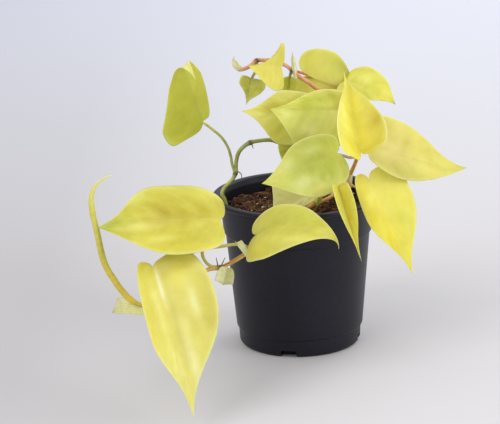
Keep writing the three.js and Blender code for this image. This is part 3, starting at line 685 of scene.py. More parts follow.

# %% [markdown]
# ## The leaves' measures
# Each leaf has the place of its base and tip, the widths of its two halves, the way its upper side
# faces, and the fold, arch and curl that its shape calls for. They repeat the measures of the solids,
# with the finer things added: the tints of each half, soft patches of another colour, dents and
# swells, and how strongly the skin is puffed and rippled. Some of the tints and patches are painted
# light and shade, not the leaf's own colour; a comment at each such leaf says which.

# %% Leaves
PLAIN_LEAF = {
    "lobe": 0.09, "wide": 0.22, "taper": 0.16, "shoulder": 0.27, "drip": 0.4, "pull": 0.74,
    "fold": 15, "arch": 0, "curl": 0,
    "sway": 0, "twist": 0, "cup": 0.12, "wave": 0.04, "waves": 1.5, "relief": 1.0, "ripple": 0.25,
    "rib": 0.55, "thick": BLADE_HALF, "tints": "#d6d24a #e0d948", "colour_and_light_patches": (),
    "dents": (),
}
LEAVES = {
    # the green vine at the left
    "left_1": dict(base=[-65, -8, 164], tip=[-67.5, -40, 200.5], half=[11.5, 29.5], face=[200, -10],
        fold=10, arch=10, curl=-150, lobe=[0, 0.1], wide=[0.45, 0.09], taper=[0.5, 0.05],
        shoulder=[0.25, 0.1], drip=[0.4, 0.25], tints=["#dde26c #e6e678", "#d0d65a #d8dc64"],
        colour_and_light_patches=[(0.9, 8, 0.2, 12, "#e8e694"), (0.1, 12, 0.25, 10, "#c6cc4c")],
        dents=[(0.4, 12, 0.2, 7, 0.9), (0.65, 2, 0.15, 5, -0.6)]),
    # left_2, painted light and shade: the first half's near-white tints lift the shadow that falls on it,
    # and the dull patch in its fold is painted shade
    "left_2": dict(base=[16, 2, 163], tip=[-38, -24, 175], half=[22, 17], face=[0, 15], fold=10,
        wide=[0.42, 0.4], taper=[0.35, 0.3], tints=["#eeeb80 #f8ee84", "#d8d54a #f2e87a"],
        colour_and_light_patches=[(0.45, -12, 0.14, 6, "#e2de6e"), (0.62, 4, 0.1, 5, "#c4bc48"),
        (0.95, 0, 0.25, 12, "#f6ec8c")], dents=[(0.5, 6, 0.15, 4, 0.8), (0.35, -9, 0.15, 5, -0.8)]),
    "left_3": dict(base=[3, 2, 146], tip=[-10, -6, 124], half=[14, 14], face=[0, 20], fold=20,
        tints="#b0b43c #b8ba44"),
    # the tall vine, from the soil up
    # tall_1, painted light: its pale tints are raised to lift the shade that tall_4 casts on it
    "tall_1": dict(base=[20, 9, 108], tip=[-18, -22, 101], half=[6, 22], face=[0, 35], fold=8, lobe=0.04,
        wide=0.55, taper=[0.45, 0.6], drip=0, tints="#f4eb98 #f6ee9c", dents=[(0.5, 8, 0.15, 5, 0.7)]),
    "tall_2": dict(base=[27, -57, 128], tip=[41, -80, 81], half=[12, 14], face=[10, 25], fold=60,
        lobe=0.02, wave=0, tints=["#c9bf4a #cdc44a", "#ddd45a #e0d85c"]),
    # tall_3, painted light: the pale patch at the base lifts the shadow that tall_6 casts there
    "tall_3": dict(base=[49, -44, 128], tip=[76, -78, 70], half=[24, 14], face=[10, 25], fold=12,
        wide=[0.26, 0.34], taper=[0.25, 0.16], drip=[0.2, 0.35],
        tints=["#e2d64a #e8da4a", "#ecd624 #e8d128"], colour_and_light_patches=[(0.05, -10, 0.25, 20, "#fbf07c"),
        (0.5, -12, 0.2, 6, "#dcd456"), (0.9, 0, 0.15, 8, "#d8d04c")], dents=[(0.4, -9, 0.2, 5, 0.9),
        (0.55, 5, 0.2, 4, -0.6), (0.15, 8, 0.1, 4, 0.7)]),
    "tall_4": dict(base=[26, -42, 147], tip=[-25, -62, 133], half=[24, 18], face=[0, 20], fold=6,
        wide=0.3, taper=[0.42, 0.25], drip=[0, 0.2], tints="#bcc656 #c6ce5c", relief=2.2, ripple=0.5,
        colour_and_light_patches=[(0.5, -10, 0.15, 5, "#e0e696"), (0.25, 9, 0.12, 4, "#dce48c"),
        (0.65, 5, 0.1, 4, "#e2e8a0"), (0.35, -18, 0.12, 4, "#e4e284"), (0.2, -8, 0.15, 6, "#acba48"),
        (0.8, 0, 0.15, 6, "#d6d66a")], dents=[(0.22, -13, 0.03, 5, 0.8), (0.29, -14, 0.03, 5, -0.9),
        (0.37, -12, 0.03, 5, 0.7), (0.55, 8, 0.08, 4, 0.6), (0.7, 2, 0.05, 3, -0.5),
        (0.5, -9, 0.12, 4, 0.6)]),
    # tall_5, painted light and shade: the first half's brighter tints and the bright strip on it stand for
    # the light falling on that side; the dark golden patch a fifth along the other half is painted shade
    "tall_5": dict(base=[42, -66, 155], tip=[34, -10, 198], half=[27, 26], face=[10, 40], fold=50,
        lobe=[0.16, 0.08], wide=[0.02, 0.12], taper=0.1, tints=["#f2e552 #efe46c", "#d6c640 #d6cb5e"],
        colour_and_light_patches=[(0.22, 18, 0.2, 9, "#c6b22c"), (0.5, 6, 0.3, 5, "#e2d456"),
        (0.3, -12, 0.3, 6, "#f8ef72"), (0.02, -10, 0.1, 10, "#e2d23c")], dents=[(0.3, 15, 0.2, 7, -1.0),
        (0.45, -10, 0.2, 4, 0.6)]),
    "tall_6": dict(base=[55, -45, 155], tip=[118, -25, 130], half=[22, 18], face=[10, 30], fold=8, sway=4,
        taper=[0.12, 0.5], drip=[0.2, 0], tints=["#dccb5c #d4cf58", "#d0c65c #cccb56"],
        colour_and_light_patches=[(0.2, 0, 0.22, 12, "#e8d580"), (0.45, -8, 0.2, 6, "#d4c44c"),
        (0.6, 6, 0.15, 4, "#e4d566"), (0.3, 13, 0.2, 5, "#c2b84e"), (0.98, 0, 0.12, 8, "#cfc846")],
        dents=[(0.35, 4, 0.2, 5, 0.9), (0.6, -6, 0.15, 5, -0.8), (0.2, -10, 0.12, 5, 0.8)]),
    # tall_7, painted shadow: the dark golden patch at the base is the shadow of tall_5 painted on
    "tall_7": dict(base=[33, -8, 169], tip=[-18, -34, 178], half=[31, 15], face=[0, 15], fold=10,
        wide=[0.5, 0.22], taper=[0.5, 0.16], shoulder=[0.2, 0.27], drip=0.1,
        tints=["#c2ca4c #d2d866", "#bcc642 #ced656"], colour_and_light_patches=[(0.5, -16, 0.18, 8, "#e0e288"),
        (0.0, 2, 0.2, 20, "#b8ab34"), (0.35, 4, 0.2, 5, "#cdd552"), (0.75, -3, 0.12, 6, "#dfe27c")],
        dents=[(0.5, -15, 0.15, 6, 1.0), (0.3, 6, 0.2, 4, -0.7), (0.7, 3, 0.1, 4, 0.6)]),
    # tall_8, painted highlight: the pale patch a quarter along the first half
    "tall_8": dict(base=[39, 22, 183], tip=[71, 6, 169], half=[19, 16], face=[20, 45], fold=10, arch=12,
        wide=[0.32, 0.2], taper=[0.45, 0.1], drip=[0, 0.4], tints="#ccca48 #d6d04a",
        colour_and_light_patches=[(0.25, -7, 0.15, 5, "#e8e47c"), (0.7, -6, 0.15, 4, "#e6e06a"),
        (0.45, 6, 0.15, 5, "#c2c244"), (1.0, 0, 0.06, 6, "#a08a3c")], dents=[(0.3, -7, 0.1, 4, 0.8),
        (0.6, 5, 0.15, 4, -0.6)]),
    "tall_9": dict(base=[13, 20, 187], tip=[53, 30, 170], half=[22, 23], face=[180, -20], fold=10,
        arch=10, lobe=0.28, tints="#e8e27a #e6e270", colour_and_light_patches=[(0.5, 0, 0.4, 4, "#ddcd7c"),
        (0.45, -15, 0.2, 7, "#cdbf4e"), (0.2, -12, 0.1, 3, "#c9c058"), (0.5, 15, 0.25, 7, "#c6c460")],
        dents=[(0.22, -9, 0.05, 8, -0.7), (0.36, -10, 0.05, 8, 0.7), (0.55, 10, 0.15, 5, -0.6)]),
    "tall_10": dict(base=[-3, 11, 189], tip=[-4, 12, 171], half=[9, 9], face=[0, 20], fold=50,
        tints="#bcc24c #c6c85a"),
    "tall_11": dict(base=[-9, -8, 202], tip=[-32, -48, 212], half=[18, 17], face=[68, 10], fold=12,
        lobe=[0, 0.1], wide=[0.3, 0], shoulder=[0.15, 0.02], taper=[0.45, 0], drip=0, pull=[0.74, 0.15],
        tints="#dcd056 #e6da58", colour_and_light_patches=[(0.5, 4, 0.2, 5, "#f0e870")], dents=[(0.4, 5, 0.2, 4, 0.7),
        (0.6, -5, 0.15, 4, -0.6)]),
    "tall_12": dict(base=[-30, -4, 192], tip=[-34, -12, 176], half=[11, 9], face=[20, 20], wide=0.15,
        taper=[0.16, 0.4], pull=[0.74, 0.25], tints="#a9ae52 #b6b858"),
    # the trailing vine, from the rim on
    "trailing_1": dict(base=[-29, -88, 105], tip=[25, -92, 94], half=[20, 23], face=[0, 50], fold=6,
        arch=90, curl=-50, wide=[0.34, 0.12], taper=[0.1, 0], shoulder=[0.22, 0.15],
        tints="#bab436 #c2bc40", colour_and_light_patches=[(0.4, -9, 0.25, 7, "#aeb338"), (0.0, 14, 0.2, 8, "#d6c948"),
        (0.5, 10, 0.2, 4, "#d8d468"), (0.75, 8, 0.15, 5, "#d4cc58")], dents=[(0.4, 9, 0.2, 5, 0.7),
        (0.5, -9, 0.15, 4, -0.6)]),
    # trailing_2, painted light and shade: the second half's lighter tints stand for the side that the
    # light falls on; the near-white streak by the sinus is a painted highlight; the dark patch at the
    # first half's margin and the thin dark line beside the midrib are painted shade
    "trailing_2": dict(base=[-98, -125, 95], tip=[-73, -185, 13], half=[36, 18], face=[20, 25], fold=25,
        arch=14, twist=25, lobe=0.05, wide=[0.3, 0.52], taper=[0.2, 0.45], drip=[0.25, 0.5], relief=1.6,
        tints=["#cec35c #d7ce70", "#e0d154 #d9d072"], colour_and_light_patches=[(0.45, -33, 0.35, 6, "#c2b64c"),
        (0.5, 17, 0.4, 3, "#e4cd3a"), (0.12, -16, 0.12, 9, "#e2d44a"), (0.12, -1, 0.12, 1.8, "#fbf8dc"),
        (0.3, -20, 0.12, 3, "#ece8a4"), (0.3, 5, 0.25, 3, "#eae38c"), (0.45, -5, 0.2, 1.7, "#bdb458"),
        (0.65, -9, 0.2, 4, "#e8e4a0"), (0.75, 2, 0.2, 4, "#e4dd8a")], dents=[(0.12, -1, 0.14, 2, 0.8),
        (0.35, -18, 0.15, 6, 1.1), (0.3, 8, 0.3, 3, -0.8), (0.5, -6, 0.2, 2, -0.5),
        (0.62, -10, 0.2, 3, 0.6), (0.7, 4, 0.15, 3, 0.5)]),
    "trailing_3": dict(base=[-54, -108, 122], tip=[-133, -125, 124], half=[29, 31], face=[0, 55], fold=6,
        arch=18, lobe=[0.02, 0.07], wide=[0.36, 0.42], taper=[0.6, 0.35], shoulder=[0.27, 0.33],
        drip=[0, 0.35], tints=["#c0b52c #c0b834", "#bbaf28 #bdb638"],
        colour_and_light_patches=[(0.95, 0, 0.2, 10, "#9fab34"), (0.45, 4, 0.16, 9, "#ae9d20"),
        (0.72, 21, 0.12, 6, "#d2d674"), (0.03, 24, 0.12, 8, "#d6d252"), (0.68, -5, 0.16, 4, "#dcd674"),
        (0.5, -16, 0.14, 3, "#dad468"), (0.3, -24, 0.3, 5, "#cfc23c")], dents=[(0.66, -6, 0.12, 5, 0.9),
        (0.45, 7, 0.16, 8, -0.9), (0.73, 20, 0.1, 5, 1.4), (0.3, -14, 0.15, 5, 0.7),
        (0.15, 12, 0.1, 5, 0.6)]),
}


def whole_leaf(measures, plain=PLAIN_LEAF, phase=0.0):
    """Fills in the plain values, splits pairs into left and right, and turns degrees into radians."""
    leaf = {**plain, **measures, "phase": phase}
    pick = lambda value, hand: value[hand] if isinstance(value, list) else value
    keys = ("lobe", "wide", "taper", "shoulder", "drip", "pull")
    leaf["sides"] = [{key: pick(leaf[key], hand) for key in keys} for hand in (0, 1)]
    leaf["tints"] = [pick(leaf["tints"], hand) for hand in (0, 1)]
    for key in ("fold", "arch", "curl", "twist"):
        leaf[key] = np.radians(leaf[key])
    return leaf


for number, (name, measures) in enumerate(LEAVES.items()):
    points, quads, fans, values, _ = blade_shell(whole_leaf(measures, phase=1.3 * number))
    single("blade_" + name, LEAF_SKIN, "leaf_lime", "leaf_" + name, points, quads, fans, **values)
print("leaves:", len(LEAVES))

# %% [markdown]
# ## Stems, leaf stalks and roots
# A vine's stem is a tube that swells at its nodes, where leaf stalks and air roots leave it. A
# stalk is thicker where it clasps the stem. A tube is a circle carried along a smooth curve, so one
# function makes them all: it walks the curve in even steps, turns its frame as little as it can, and
# closes both ends with rounded caps. Curves with a bevel would do too, but the swelling and the dark
# rings are easier to give as arrays.

# %% Tubes
STEP = 0.8
CAP_ANGLES = np.radians([30, 60])


def smooth_route(points, step=STEP):
    """The curve through the given points whose knots lie as far apart as the root of their distances,
    each span a cubic that leaves and arrives along its neighbours; then even steps along it."""
    p = np.array(points, float)
    p = np.concatenate([[2 * p[0] - p[1]], p, [2 * p[-1] - p[-2]]])
    knots = np.sqrt(np.linalg.norm(np.diff(p, axis=0), axis=1))[:, None]
    a, b, c = knots[:-2], knots[1:-1], knots[2:]
    p0, p1, p2, p3 = p[:-3], p[1:-2], p[2:-1], p[3:]
    leave = ((p1 - p0) / a - (p2 - p0) / (a + b) + (p2 - p1) / b) * b
    arrive = ((p2 - p1) / b - (p3 - p1) / (b + c) + (p3 - p2) / c) * b
    s = np.linspace(0, 1, 24, endpoint=False)[None, :, None]
    terms = [p1[:, None], leave[:, None] * s, (3 * (p2 - p1) - 2 * leave - arrive)[:, None] * s**2,
             (leave + arrive - 2 * (p2 - p1))[:, None] * s**3]
    fine = np.concatenate([sum(terms).reshape(-1, 3), p[-2:-1]])
    run = np.concatenate([[0], np.cumsum(np.linalg.norm(np.diff(fine, axis=0), axis=1))])
    even = np.linspace(0, run[-1], max(3, int(round(run[-1] / step)) + 1))
    return np.stack([np.interp(even, run, fine[:, k]) for k in range(3)], axis=1), even


def carried_frames(line):
    """Tangents, and side directions that turn no more than the curve does, ring by ring."""
    tangents = unit(np.gradient(line, axis=0))
    side = np.cross(tangents[0], [0.31, 0.2, 0.93])
    sides = []
    for tangent in tangents:
        side = unit(side - side @ tangent * tangent)
        sides.append(side)
    return tangents, np.array(sides)


def tube(line, radius, sides=14, groove=0.0, spiral=0.0):
    """Rings of the radius about the line, with a rounded cap at each end that closes in a pole."""
    tangents, across = carried_frames(line)
    radius = np.broadcast_to(radius, len(line)).astype(float)
    sink, ease = np.sin(CAP_ANGLES), np.cos(CAP_ANGLES)
    head = line[0] - tangents[0] * radius[0] * sink[::-1, None]
    tail = line[-1] + tangents[-1] * radius[-1] * sink[:, None]
    centres = np.concatenate([head, line, tail])
    radii = np.concatenate([radius[0] * ease[::-1], radius, radius[-1] * ease])
    two = len(CAP_ANGLES)
    spread = lambda a: np.concatenate([np.repeat(a[:1], two, 0), a, np.repeat(a[-1:], two, 0)])
    t_all, s_all = spread(tangents), spread(across)
    b_all = np.cross(t_all, s_all)
    angle = 2 * np.pi * np.arange(sides) / sides
    shape = 1 - groove * np.exp(-((np.angle(np.exp(1j * (angle - 1.5))) / 0.5) ** 2))
    turn = angle + spiral * np.linspace(0, 1, len(centres))[:, None]
    ring = np.cos(turn)[..., None] * s_all[:, None] + np.sin(turn)[..., None] * b_all[:, None]
    body = centres[:, None] + (radii[:, None] * shape)[..., None] * ring
    poles = np.stack([line[0] - tangents[0] * radius[0], line[-1] + tangents[-1] * radius[-1]])
    points, quads, ends = closed_rings(body, poles)
    rows = len(centres)
    around = np.stack([np.tile(angle / (2 * np.pi), rows), np.repeat(np.arange(rows), sides) * 0.02,
                       np.zeros(rows * sides)], axis=1)
    around = np.concatenate([around, [[0, 0, 0], [0, rows * 0.02, 0]]])
    per_ring = lambda a: np.concatenate([np.repeat(spread(a), sides), [a[0], a[-1]]])
    return points, quads, ends, around, per_ring


print("even steps on a bend:", len(smooth_route([[0, 0, 0], [10, 0, 5], [20, 5, 0]])[0]))

# %% [markdown]
# The vines' routes repeat those of the solids. Each stem starts straight in its hole in the
# soil; the left vine's hole leans, because its stem comes up close to the wall.

# %% Vines
SOIL_TOP = 98.0
HOLE_DEPTH = 22
NODE_SWELL = 0.34
NODE_LENGTH = 1.7
SCAR_LENGTH = 1.5
CLASP_LENGTH = 2.5
NECK_LENGTH = 2
STALK_GROOVE = 0.12
ROOT_RADIUS = 0.5
STEM_DEPTHS = (20, 1, -2)
VINES = {
    "vine_left": dict(
        slot="stem_green", radius=1.4, petiole=1.1, hole=[-49.1, -7.5], lean=[4.2, 0],
        tints="#ccd074 #bec668 #a8b45c #a2ae5c",
        stalk_tints={"other": "#b2bc66 #b6be68"},
        stem=[[-50.1, -7.6, 103], [-51.2, -7.8, 107.3], [-52.6, -7.8, 110.5], [-52.3, -7.4, 113.3],
            [-49.5, -6.2, 117], [-46, -5, 120], [-43, -4, 125], [-42, -3, 134], [-40, -2, 140],
            [-36, -1, 144], [-32, 0, 146], [-25, 1, 147], [-18, 2, 147], [-10, 3, 145], [-2, 4, 144]],
        nodes=[[-43, -4, 125], [-32, 0, 146], [-13, 2.5, 146], [-2, 4, 144]],
        petioles={
            "left_1": [[-43, -4, 125], [-45, -4, 131], [-46, -4, 138], [-48, -5, 145], [-52, -6, 152],
                [-58, -7, 158]],
            "left_2": [[-2, 4, 144], [5, 8, 146], [13, 8, 155]],
            "left_3": [[-2, 4, 144], [1, 4, 145]],
        },
        roots=[[[-42, -4, 127], [-39, -6, 125], [-38.5, -7, 121]], [[-31, 0, 146], [-30, -1, 142]]],
    ),
    "vine_tall": dict(
        slot="stem_red", radius=1.4, petiole=1.1, hole=[37, 20], lean=[0, 0],
        tints="#fbd77c #fbca70 #f0aa5c #e6a268 #eeb084 #efb68c",
        stalk_tints={"other": "#e6ac52 #e4bc5a", "tall_9": "#dc7c42 #da8448", "tall_10": "#b2b854",
            "tall_11": "#eab480 #e4cc6c", "tall_12": "#b4b858"},
        stem=[[37, 19.5, 104], [38, 18, 110], [39, 17, 116], [42, 15, 124], [44, 13, 130], [46, 10, 139],
            [46, 8, 151], [42, 6, 162], [36, 4, 172], [30, 3, 179], [22, 2, 181], [16, 1, 183],
            [10, 0, 188], [4, 1, 192], [-1, 3, 196], [-5, 6, 199], [-11, 9, 201], [-17, 10, 202],
            [-22, 9, 203], [-26, 7, 203], [-31, 3, 200], [-35, 0, 199], [-38, -2, 199]],
        nodes=[[38, 18, 110], [46, 10, 139], [42, 6, 162], [-1, 3, 196], [-17, 10, 202], [-26, 7, 203]],
        petioles={
            "tall_1": [[38, 18, 110], [33, 17, 110], [27, 14, 110]],
            "tall_2": [[38, 18, 110], [36, 0, 110], [33, -25, 112.5], [31, -48, 117]],
            "tall_3": [[38, 18, 110], [40, 4, 111], [44, -22, 117], [46, -36, 122]],
            "tall_4": [[44, 13, 130], [38, 0, 133], [32, -20, 140]],
            "tall_5": [[46, 10, 139], [44, 0, 141], [41, -30, 145], [40, -50, 149]],
            "tall_6": [[46, 10, 139], [47, -8, 143], [50, -28, 148]],
            "tall_7": [[42, 6, 162], [39, 0, 165], [35, -5, 167]],
            "tall_8": [[42, 6, 162], [44, 12, 168], [43, 18, 175]],
            "tall_9": [[-1, 3, 196], [3, 8, 194], [8, 14, 191]],
            "tall_10": [[-1, 3, 196], [-2, 7, 194]],
            "tall_11": [[-17, 10, 202], [-14, 6, 202], [-11, -2, 202]],
            "tall_12": [[-26, 7, 203], [-26, 5, 198], [-28, 0, 195]],
        },
        roots=[[[-9, 8, 200], [-9, 3, 193], [-9, 1, 190], [-10, 0, 186], [-12, -1, 183]]],
    ),
    "vine_trailing": dict(
        slot="stem_orange", radius=1.45, petiole=1.2, hole=[30, 19], lean=[0, 0],
        tints="#e2ae4a #e8ae46 #e4ae4e #e4b252 #deba5a #dcc250",
        stalk_tints={"other": "#c8bf5a #d2cc5c", "trailing_2": "#bcb85a #c2be60 #c8c466"},
        stem=[[30, 18, 103], [28, 12, 104.5], [24, 2, 104], [18, -11, 105], [11, -26, 107], [5, -40, 108],
            [-1, -57, 110.6], [-8, -69, 111], [-16, -75, 107], [-25, -78, 100], [-34, -80, 92],
            [-41, -84, 88], [-48, -87, 85], [-55, -90, 83], [-62, -93, 83], [-71, -96, 80],
            [-85, -102, 73], [-102, -107, 66.5], [-107, -108, 64.5], [-109.5, -108, 64.8],
            [-112, -108, 66.2]],
        nodes=[[11, -26, 107], [-25, -78, 100], [-34, -80, 92], [-55, -90, 83], [-102, -107, 66.5]],
        petioles={
            "trailing_1": [[-25, -78, 100], [-27, -84, 103]],
            "trailing_2": [[-34, -80, 92], [-38, -84, 96], [-43, -90, 99], [-53, -100, 101],
                [-62, -107, 102], [-75, -114, 101], [-88, -120, 99]],
            "trailing_3": [[-55, -90, 83], [-61, -92, 85], [-65, -94, 90], [-66, -98, 98],
                [-62, -102, 108], [-58, -105, 116]],
        },
        roots=[[[-56, -91, 84], [-57, -93, 91]], [[-54, -90, 84], [-51, -93, 91]], [[-53, -90, 84],
            [-48, -92, 87]]],
    ),
}


def tint_along(tints, share):
    """Colours at even shares of a length, mixed in between at the given shares."""
    lights = np.array([light_of(colour) for colour in tints.split()])
    place = share * (len(lights) - 1)
    return np.stack([np.interp(place, range(len(lights)), light) for light in lights.T], axis=1)


def add_tube(parts, line, radius, shade, tints, **shape):
    """A tube with its darkness for each ring and its tints along it."""
    points, quads, ends, around, per_ring = tube(line, radius, **shape)
    tint = tint_along(tints, per_ring(np.linspace(0, 1, len(line))))
    parts.add(points, quads, ends, around=around, shade=per_ring(shade), tint=tint)


def near_nodes(line, nodes, reach):
    """How near each place of the line is to a node: e to the power of less the square of the distance
    over the reach."""
    apart = np.linalg.norm(line[:, None] - np.array(nodes, float)[None], axis=2)
    return np.exp(-((apart / reach) ** 2)).max(1)


def under_blade(leaf, radius):
    """The point just under a blade's base where its stalk ends, against its underside."""
    base, _, normal = midrib(leaf, np.array([0.0]))
    return (base[0] - 0.9 * radius * normal[0]).tolist()


def vine_piece(name, vine):
    """Stem, stalks and air roots of one vine.

    The stem swells at its nodes. A stalk is thicker by four tenths where it leaves the stem and thinner
    by three tenths under its blade, each fading over its length. A root tapers to four tenths."""
    parts = Parts()
    straight = [[*(np.array(vine["hole"]) + np.array(vine["lean"]) * depth / HOLE_DEPTH),
                 SOIL_TOP - depth] for depth in STEM_DEPTHS]
    line, run = smooth_route(straight + vine["stem"])
    near = near_nodes(line, vine["nodes"], NODE_LENGTH)
    scar = near_nodes(line, vine["nodes"], SCAR_LENGTH)
    radius = vine["radius"] * (1 + NODE_SWELL * near + 0.03 * np.sin(run / 5.0))
    add_tube(parts, line, radius, 0.9 * scar, vine["tints"])
    for leaf_name, route in vine["petioles"].items():
        leaf = whole_leaf(LEAVES[leaf_name])
        line, run = smooth_route(route + [under_blade(leaf, vine["petiole"])])
        left = run[-1] - run
        clasp, neck = np.exp(-run / CLASP_LENGTH), np.exp(-((left / NECK_LENGTH) ** 2))
        radius = vine["petiole"] * (0.94 + 0.4 * clasp - 0.3 * neck)
        shade = 0.35 * np.exp(-((run - 1.5) / 0.8) ** 2)
        tints = vine["stalk_tints"].get(leaf_name, vine["stalk_tints"]["other"])
        tints += " " + leaf["tints"][0].split()[0]
        add_tube(parts, line, radius, shade, tints, groove=STALK_GROOVE)
    for route in vine["roots"]:
        line, run = smooth_route(route, 0.4)
        shade = 0.55 + 0.4 * run / run[-1]
        add_tube(parts, line, ROOT_RADIUS * (1 - 0.6 * run / run[-1]), shade, vine["tints"][:7], sides=8)
    return parts.make(name + "_stems", STEM_SKINS[name], vine["slot"], name)


for name, vine in VINES.items():
    piece = vine_piece(name, vine)
    print(piece.name, "polygons:", len(piece.data.polygons))

# %% [markdown]
# ## The furled leaf
# The youngest leaf of the trailing vine is still rolled round itself: a slim whip, thick and golden
# below, pale above, with the seam of its free edge winding slowly round it. It is the same tube with
# a groove for the seam that turns as it climbs.

# %% Furled leaf
WHIP = [[-112.55, -108, 66.5], [-116, -108, 69.5], [-121, -108, 75.7], [-125, -108, 82.5],
        [-128.7, -108, 89], [-131.3, -108, 96], [-132.8, -108, 103], [-133.8, -108, 110],
        [-135, -108, 118], [-136.5, -108, 126], [-137.2, -108, 132], [-137.5, -108, 139],
        [-136, -108, 144], [-133, -108, 149], [-129, -108, 152], [-124, -108, 154]]
WHIP_RADIUS = 2.2
WHIP_TAPER = 0.2
WHIP_START = 0.68
WHIP_TINTS = "#e2c840 #dccb48 #d2cc5c #dad66e #ebe584"


def whip_piece():
    """Radius falls from WHIP_START on to a fifth of its size."""
    line, run = smooth_route(WHIP, 0.7)
    share = run / run[-1]
    radius = WHIP_RADIUS * (1 - (1 - WHIP_TAPER) * smooth_step((share - WHIP_START) / (1 - WHIP_START)))
    points, quads, ends, _, per_ring = tube(line, radius, sides=20, groove=0.22, spiral=5.0)
    zero = np.zeros(len(points))
    blade = np.stack([zero, 0.05 * per_ring(run), zero], axis=1)
    tint = tint_along(WHIP_TINTS, per_ring(share))
    return single("whip_trailing", LEAF_SKIN, "leaf_lime", "leaf_trailing_furled", points, quads, ends,
                  tint=tint, vein=zero, edge=zero, under=zero, blade=blade)


print(whip_piece().name)

# %% [markdown]
# ## The papery sheaths
# Each new leaf of this plant leaves the bud in a sheath, which stays for a while at the node as a
# short pale flap, folded round the stem. It is a small blunt blade with a deep fold, made by the
# leaf's own formula with other proportions and long veins in place of the leaf's.

# %% Sheaths
PLAIN_SHEATH = {
    **PLAIN_LEAF, "lobe": 0, "wide": 0.6, "taper": 1.3, "shoulder": 0.45, "drip": 0, "fold": 55, "cup": 0,
    "wave": 0, "relief": 0.2, "ripple": 0.12, "rib": 0.0, "thick": 0.14, "tints": "#efeac4 #efeac4",
}
SHEATHS = {
    "trailing_1": dict(base=[12, -27, 106], tip=[20, -32, 128], half=[4, 4], face=[160, 10], wide=0.3,
        taper=0.2, tints="#dcdb62 #e2e070"),
    "trailing_2": dict(base=[-37, -87, 89], tip=[-44, -92, 101], half=[4.5, 4.5], face=[150, 10]),
    "trailing_3": dict(base=[-50, -90, 83], tip=[-53, -94, 72], half=[7.5, 7.5], face=[0, 10], fold=35,
        tints="#f2efcc #f8f4da"),
    "trailing_4": dict(base=[-106, -108, 57.5], tip=[-127.5, -108, 59.5], half=[10.5, 10.5], face=[0, 60],
        fold=50, tints="#f6f2cc #fdfae2"),
    # tall_1, painted light: its near-white tints lift the shade of the leaves and the pot's wall round it
    "tall_1": dict(base=[38, 15, 106], tip=[38, 12, 117], half=[4, 4], face=[180, 0],
        tints="#fff4d0 #fff4d0"),
    "tall_2": dict(base=[1, -1, 191], tip=[-1, 1, 210], half=[3, 3], face=[180, 0], wide=0.4, taper=0.3),
    "tall_3": dict(base=[-36, -3, 198], tip=[-41, -4, 209], half=[5.5, 5.5], face=[-90, 0], wide=0.4,
        taper=0.3, fold=-45, arch=140),
}
SHEATH_ROWS = 36
SHEATH_COLUMNS = 14
SHEATH_VEINS = 6


def sheath_piece(name, measures, phase):
    """A small folded blade whose veins run along it, browned at its tip."""
    sheath = whole_leaf(measures, PLAIN_SHEATH, phase)
    points, quads, fans, values, (u, v) = blade_shell(sheath, SHEATH_ROWS, SHEATH_COLUMNS)
    lines = 0.5 + 0.5 * np.cos(2 * np.pi * SHEATH_VEINS * v)
    brown = 0.5 * u.clip(0, 1) ** 8 + 0.25 * v**20
    return single("papery_sheath_" + name, SHEATH_PAPER, "sheath", "sheath_" + name, points, quads, fans,
                  vein=lines, shade=brown, tint=values["tint"])


for number, (name, measures) in enumerate(SHEATHS.items()):
    sheath_piece(name, measures, 0.9 * number)
print("sheaths:", len(SHEATHS))

# %% [markdown]
# ## The pot
# A nursery pot is blown or injected in black polypropylene: thin walls, a narrower foot, a collar
# under a rolled lip, and notches in the foot that let water out. It is a profile turned about the
# upright axis. Its corners are rounded in the profile itself, so the light runs round them as it
# does on moulded plastic, and the notches are cut out afterwards with a Boolean.

# %% Pot
POT_HEIGHT = 108.5
POT_SEGMENTS = 160
FLOOR = 1.8
SHARP_ANGLE = np.radians(38)
NOTCH = {"width": 11.0, "height": 5.0, "depth": 12.0, "count": 4, "first": -102.5, "at": 41.5}
# radius, height and how round the corner is
POT_PROFILE = [
    (41.5, 0, 1.2), (43.2, 2, 0.8), (43.8, 12.4, 0.4), (45.1, 13.2, 0.5), (51.2, 81.5, 0.4),
    (52.5, 82.5, 0.5), (54.6, 104.5, 0.8), (59.2, 105.5, 0.8), (60, 106.5, 0.5), (60, 107.7, 0.5),
    (59.2, 108.5, 0.5), (55.5, 108.5, 0.8), (54.5, 107.7, 0.6), (53.1, 104.5, 0.8), (51.0, 83.0, 0.5),
    (49.7, 81.0, 0.5), (43.6, 13.8, 0.5), (42.3, 11.6, 0.5), (41.7, 3.3, 0.8), (40.0, 1.8, 0.6),
]


def rounded_profile(corners, steps=5):
    """Each corner becomes a short curve that starts and ends its roundness away from it."""
    p = np.array([corner[:2] for corner in corners], float)
    size = np.array([corner[2] for corner in corners])[:, None]
    before = np.concatenate([[[0, 0]], p[:-1]]) - p
    after = np.concatenate([p[1:], [[0, FLOOR]]]) - p
    reach = np.minimum(size, 0.45 * np.minimum(
        np.linalg.norm(before, axis=1), np.linalg.norm(after, axis=1))[:, None])
    start, end = p + unit(before) * reach, p + unit(after) * reach
    s = np.linspace(0, 1, steps)[None, :, None]
    curve = (1 - s) ** 2 * start[:, None] + 2 * s * (1 - s) * p[:, None] + s**2 * end[:, None]
    return curve.reshape(-1, 2)


def turned(profile, segments):
    """A profile of (radius, height), turned about the upright axis and closed with two poles."""
    poles = [[0, 0, profile[0, 1]], [0, 0, profile[-1, 1]]]
    return closed_rings(carried_round(profile, segments), poles)


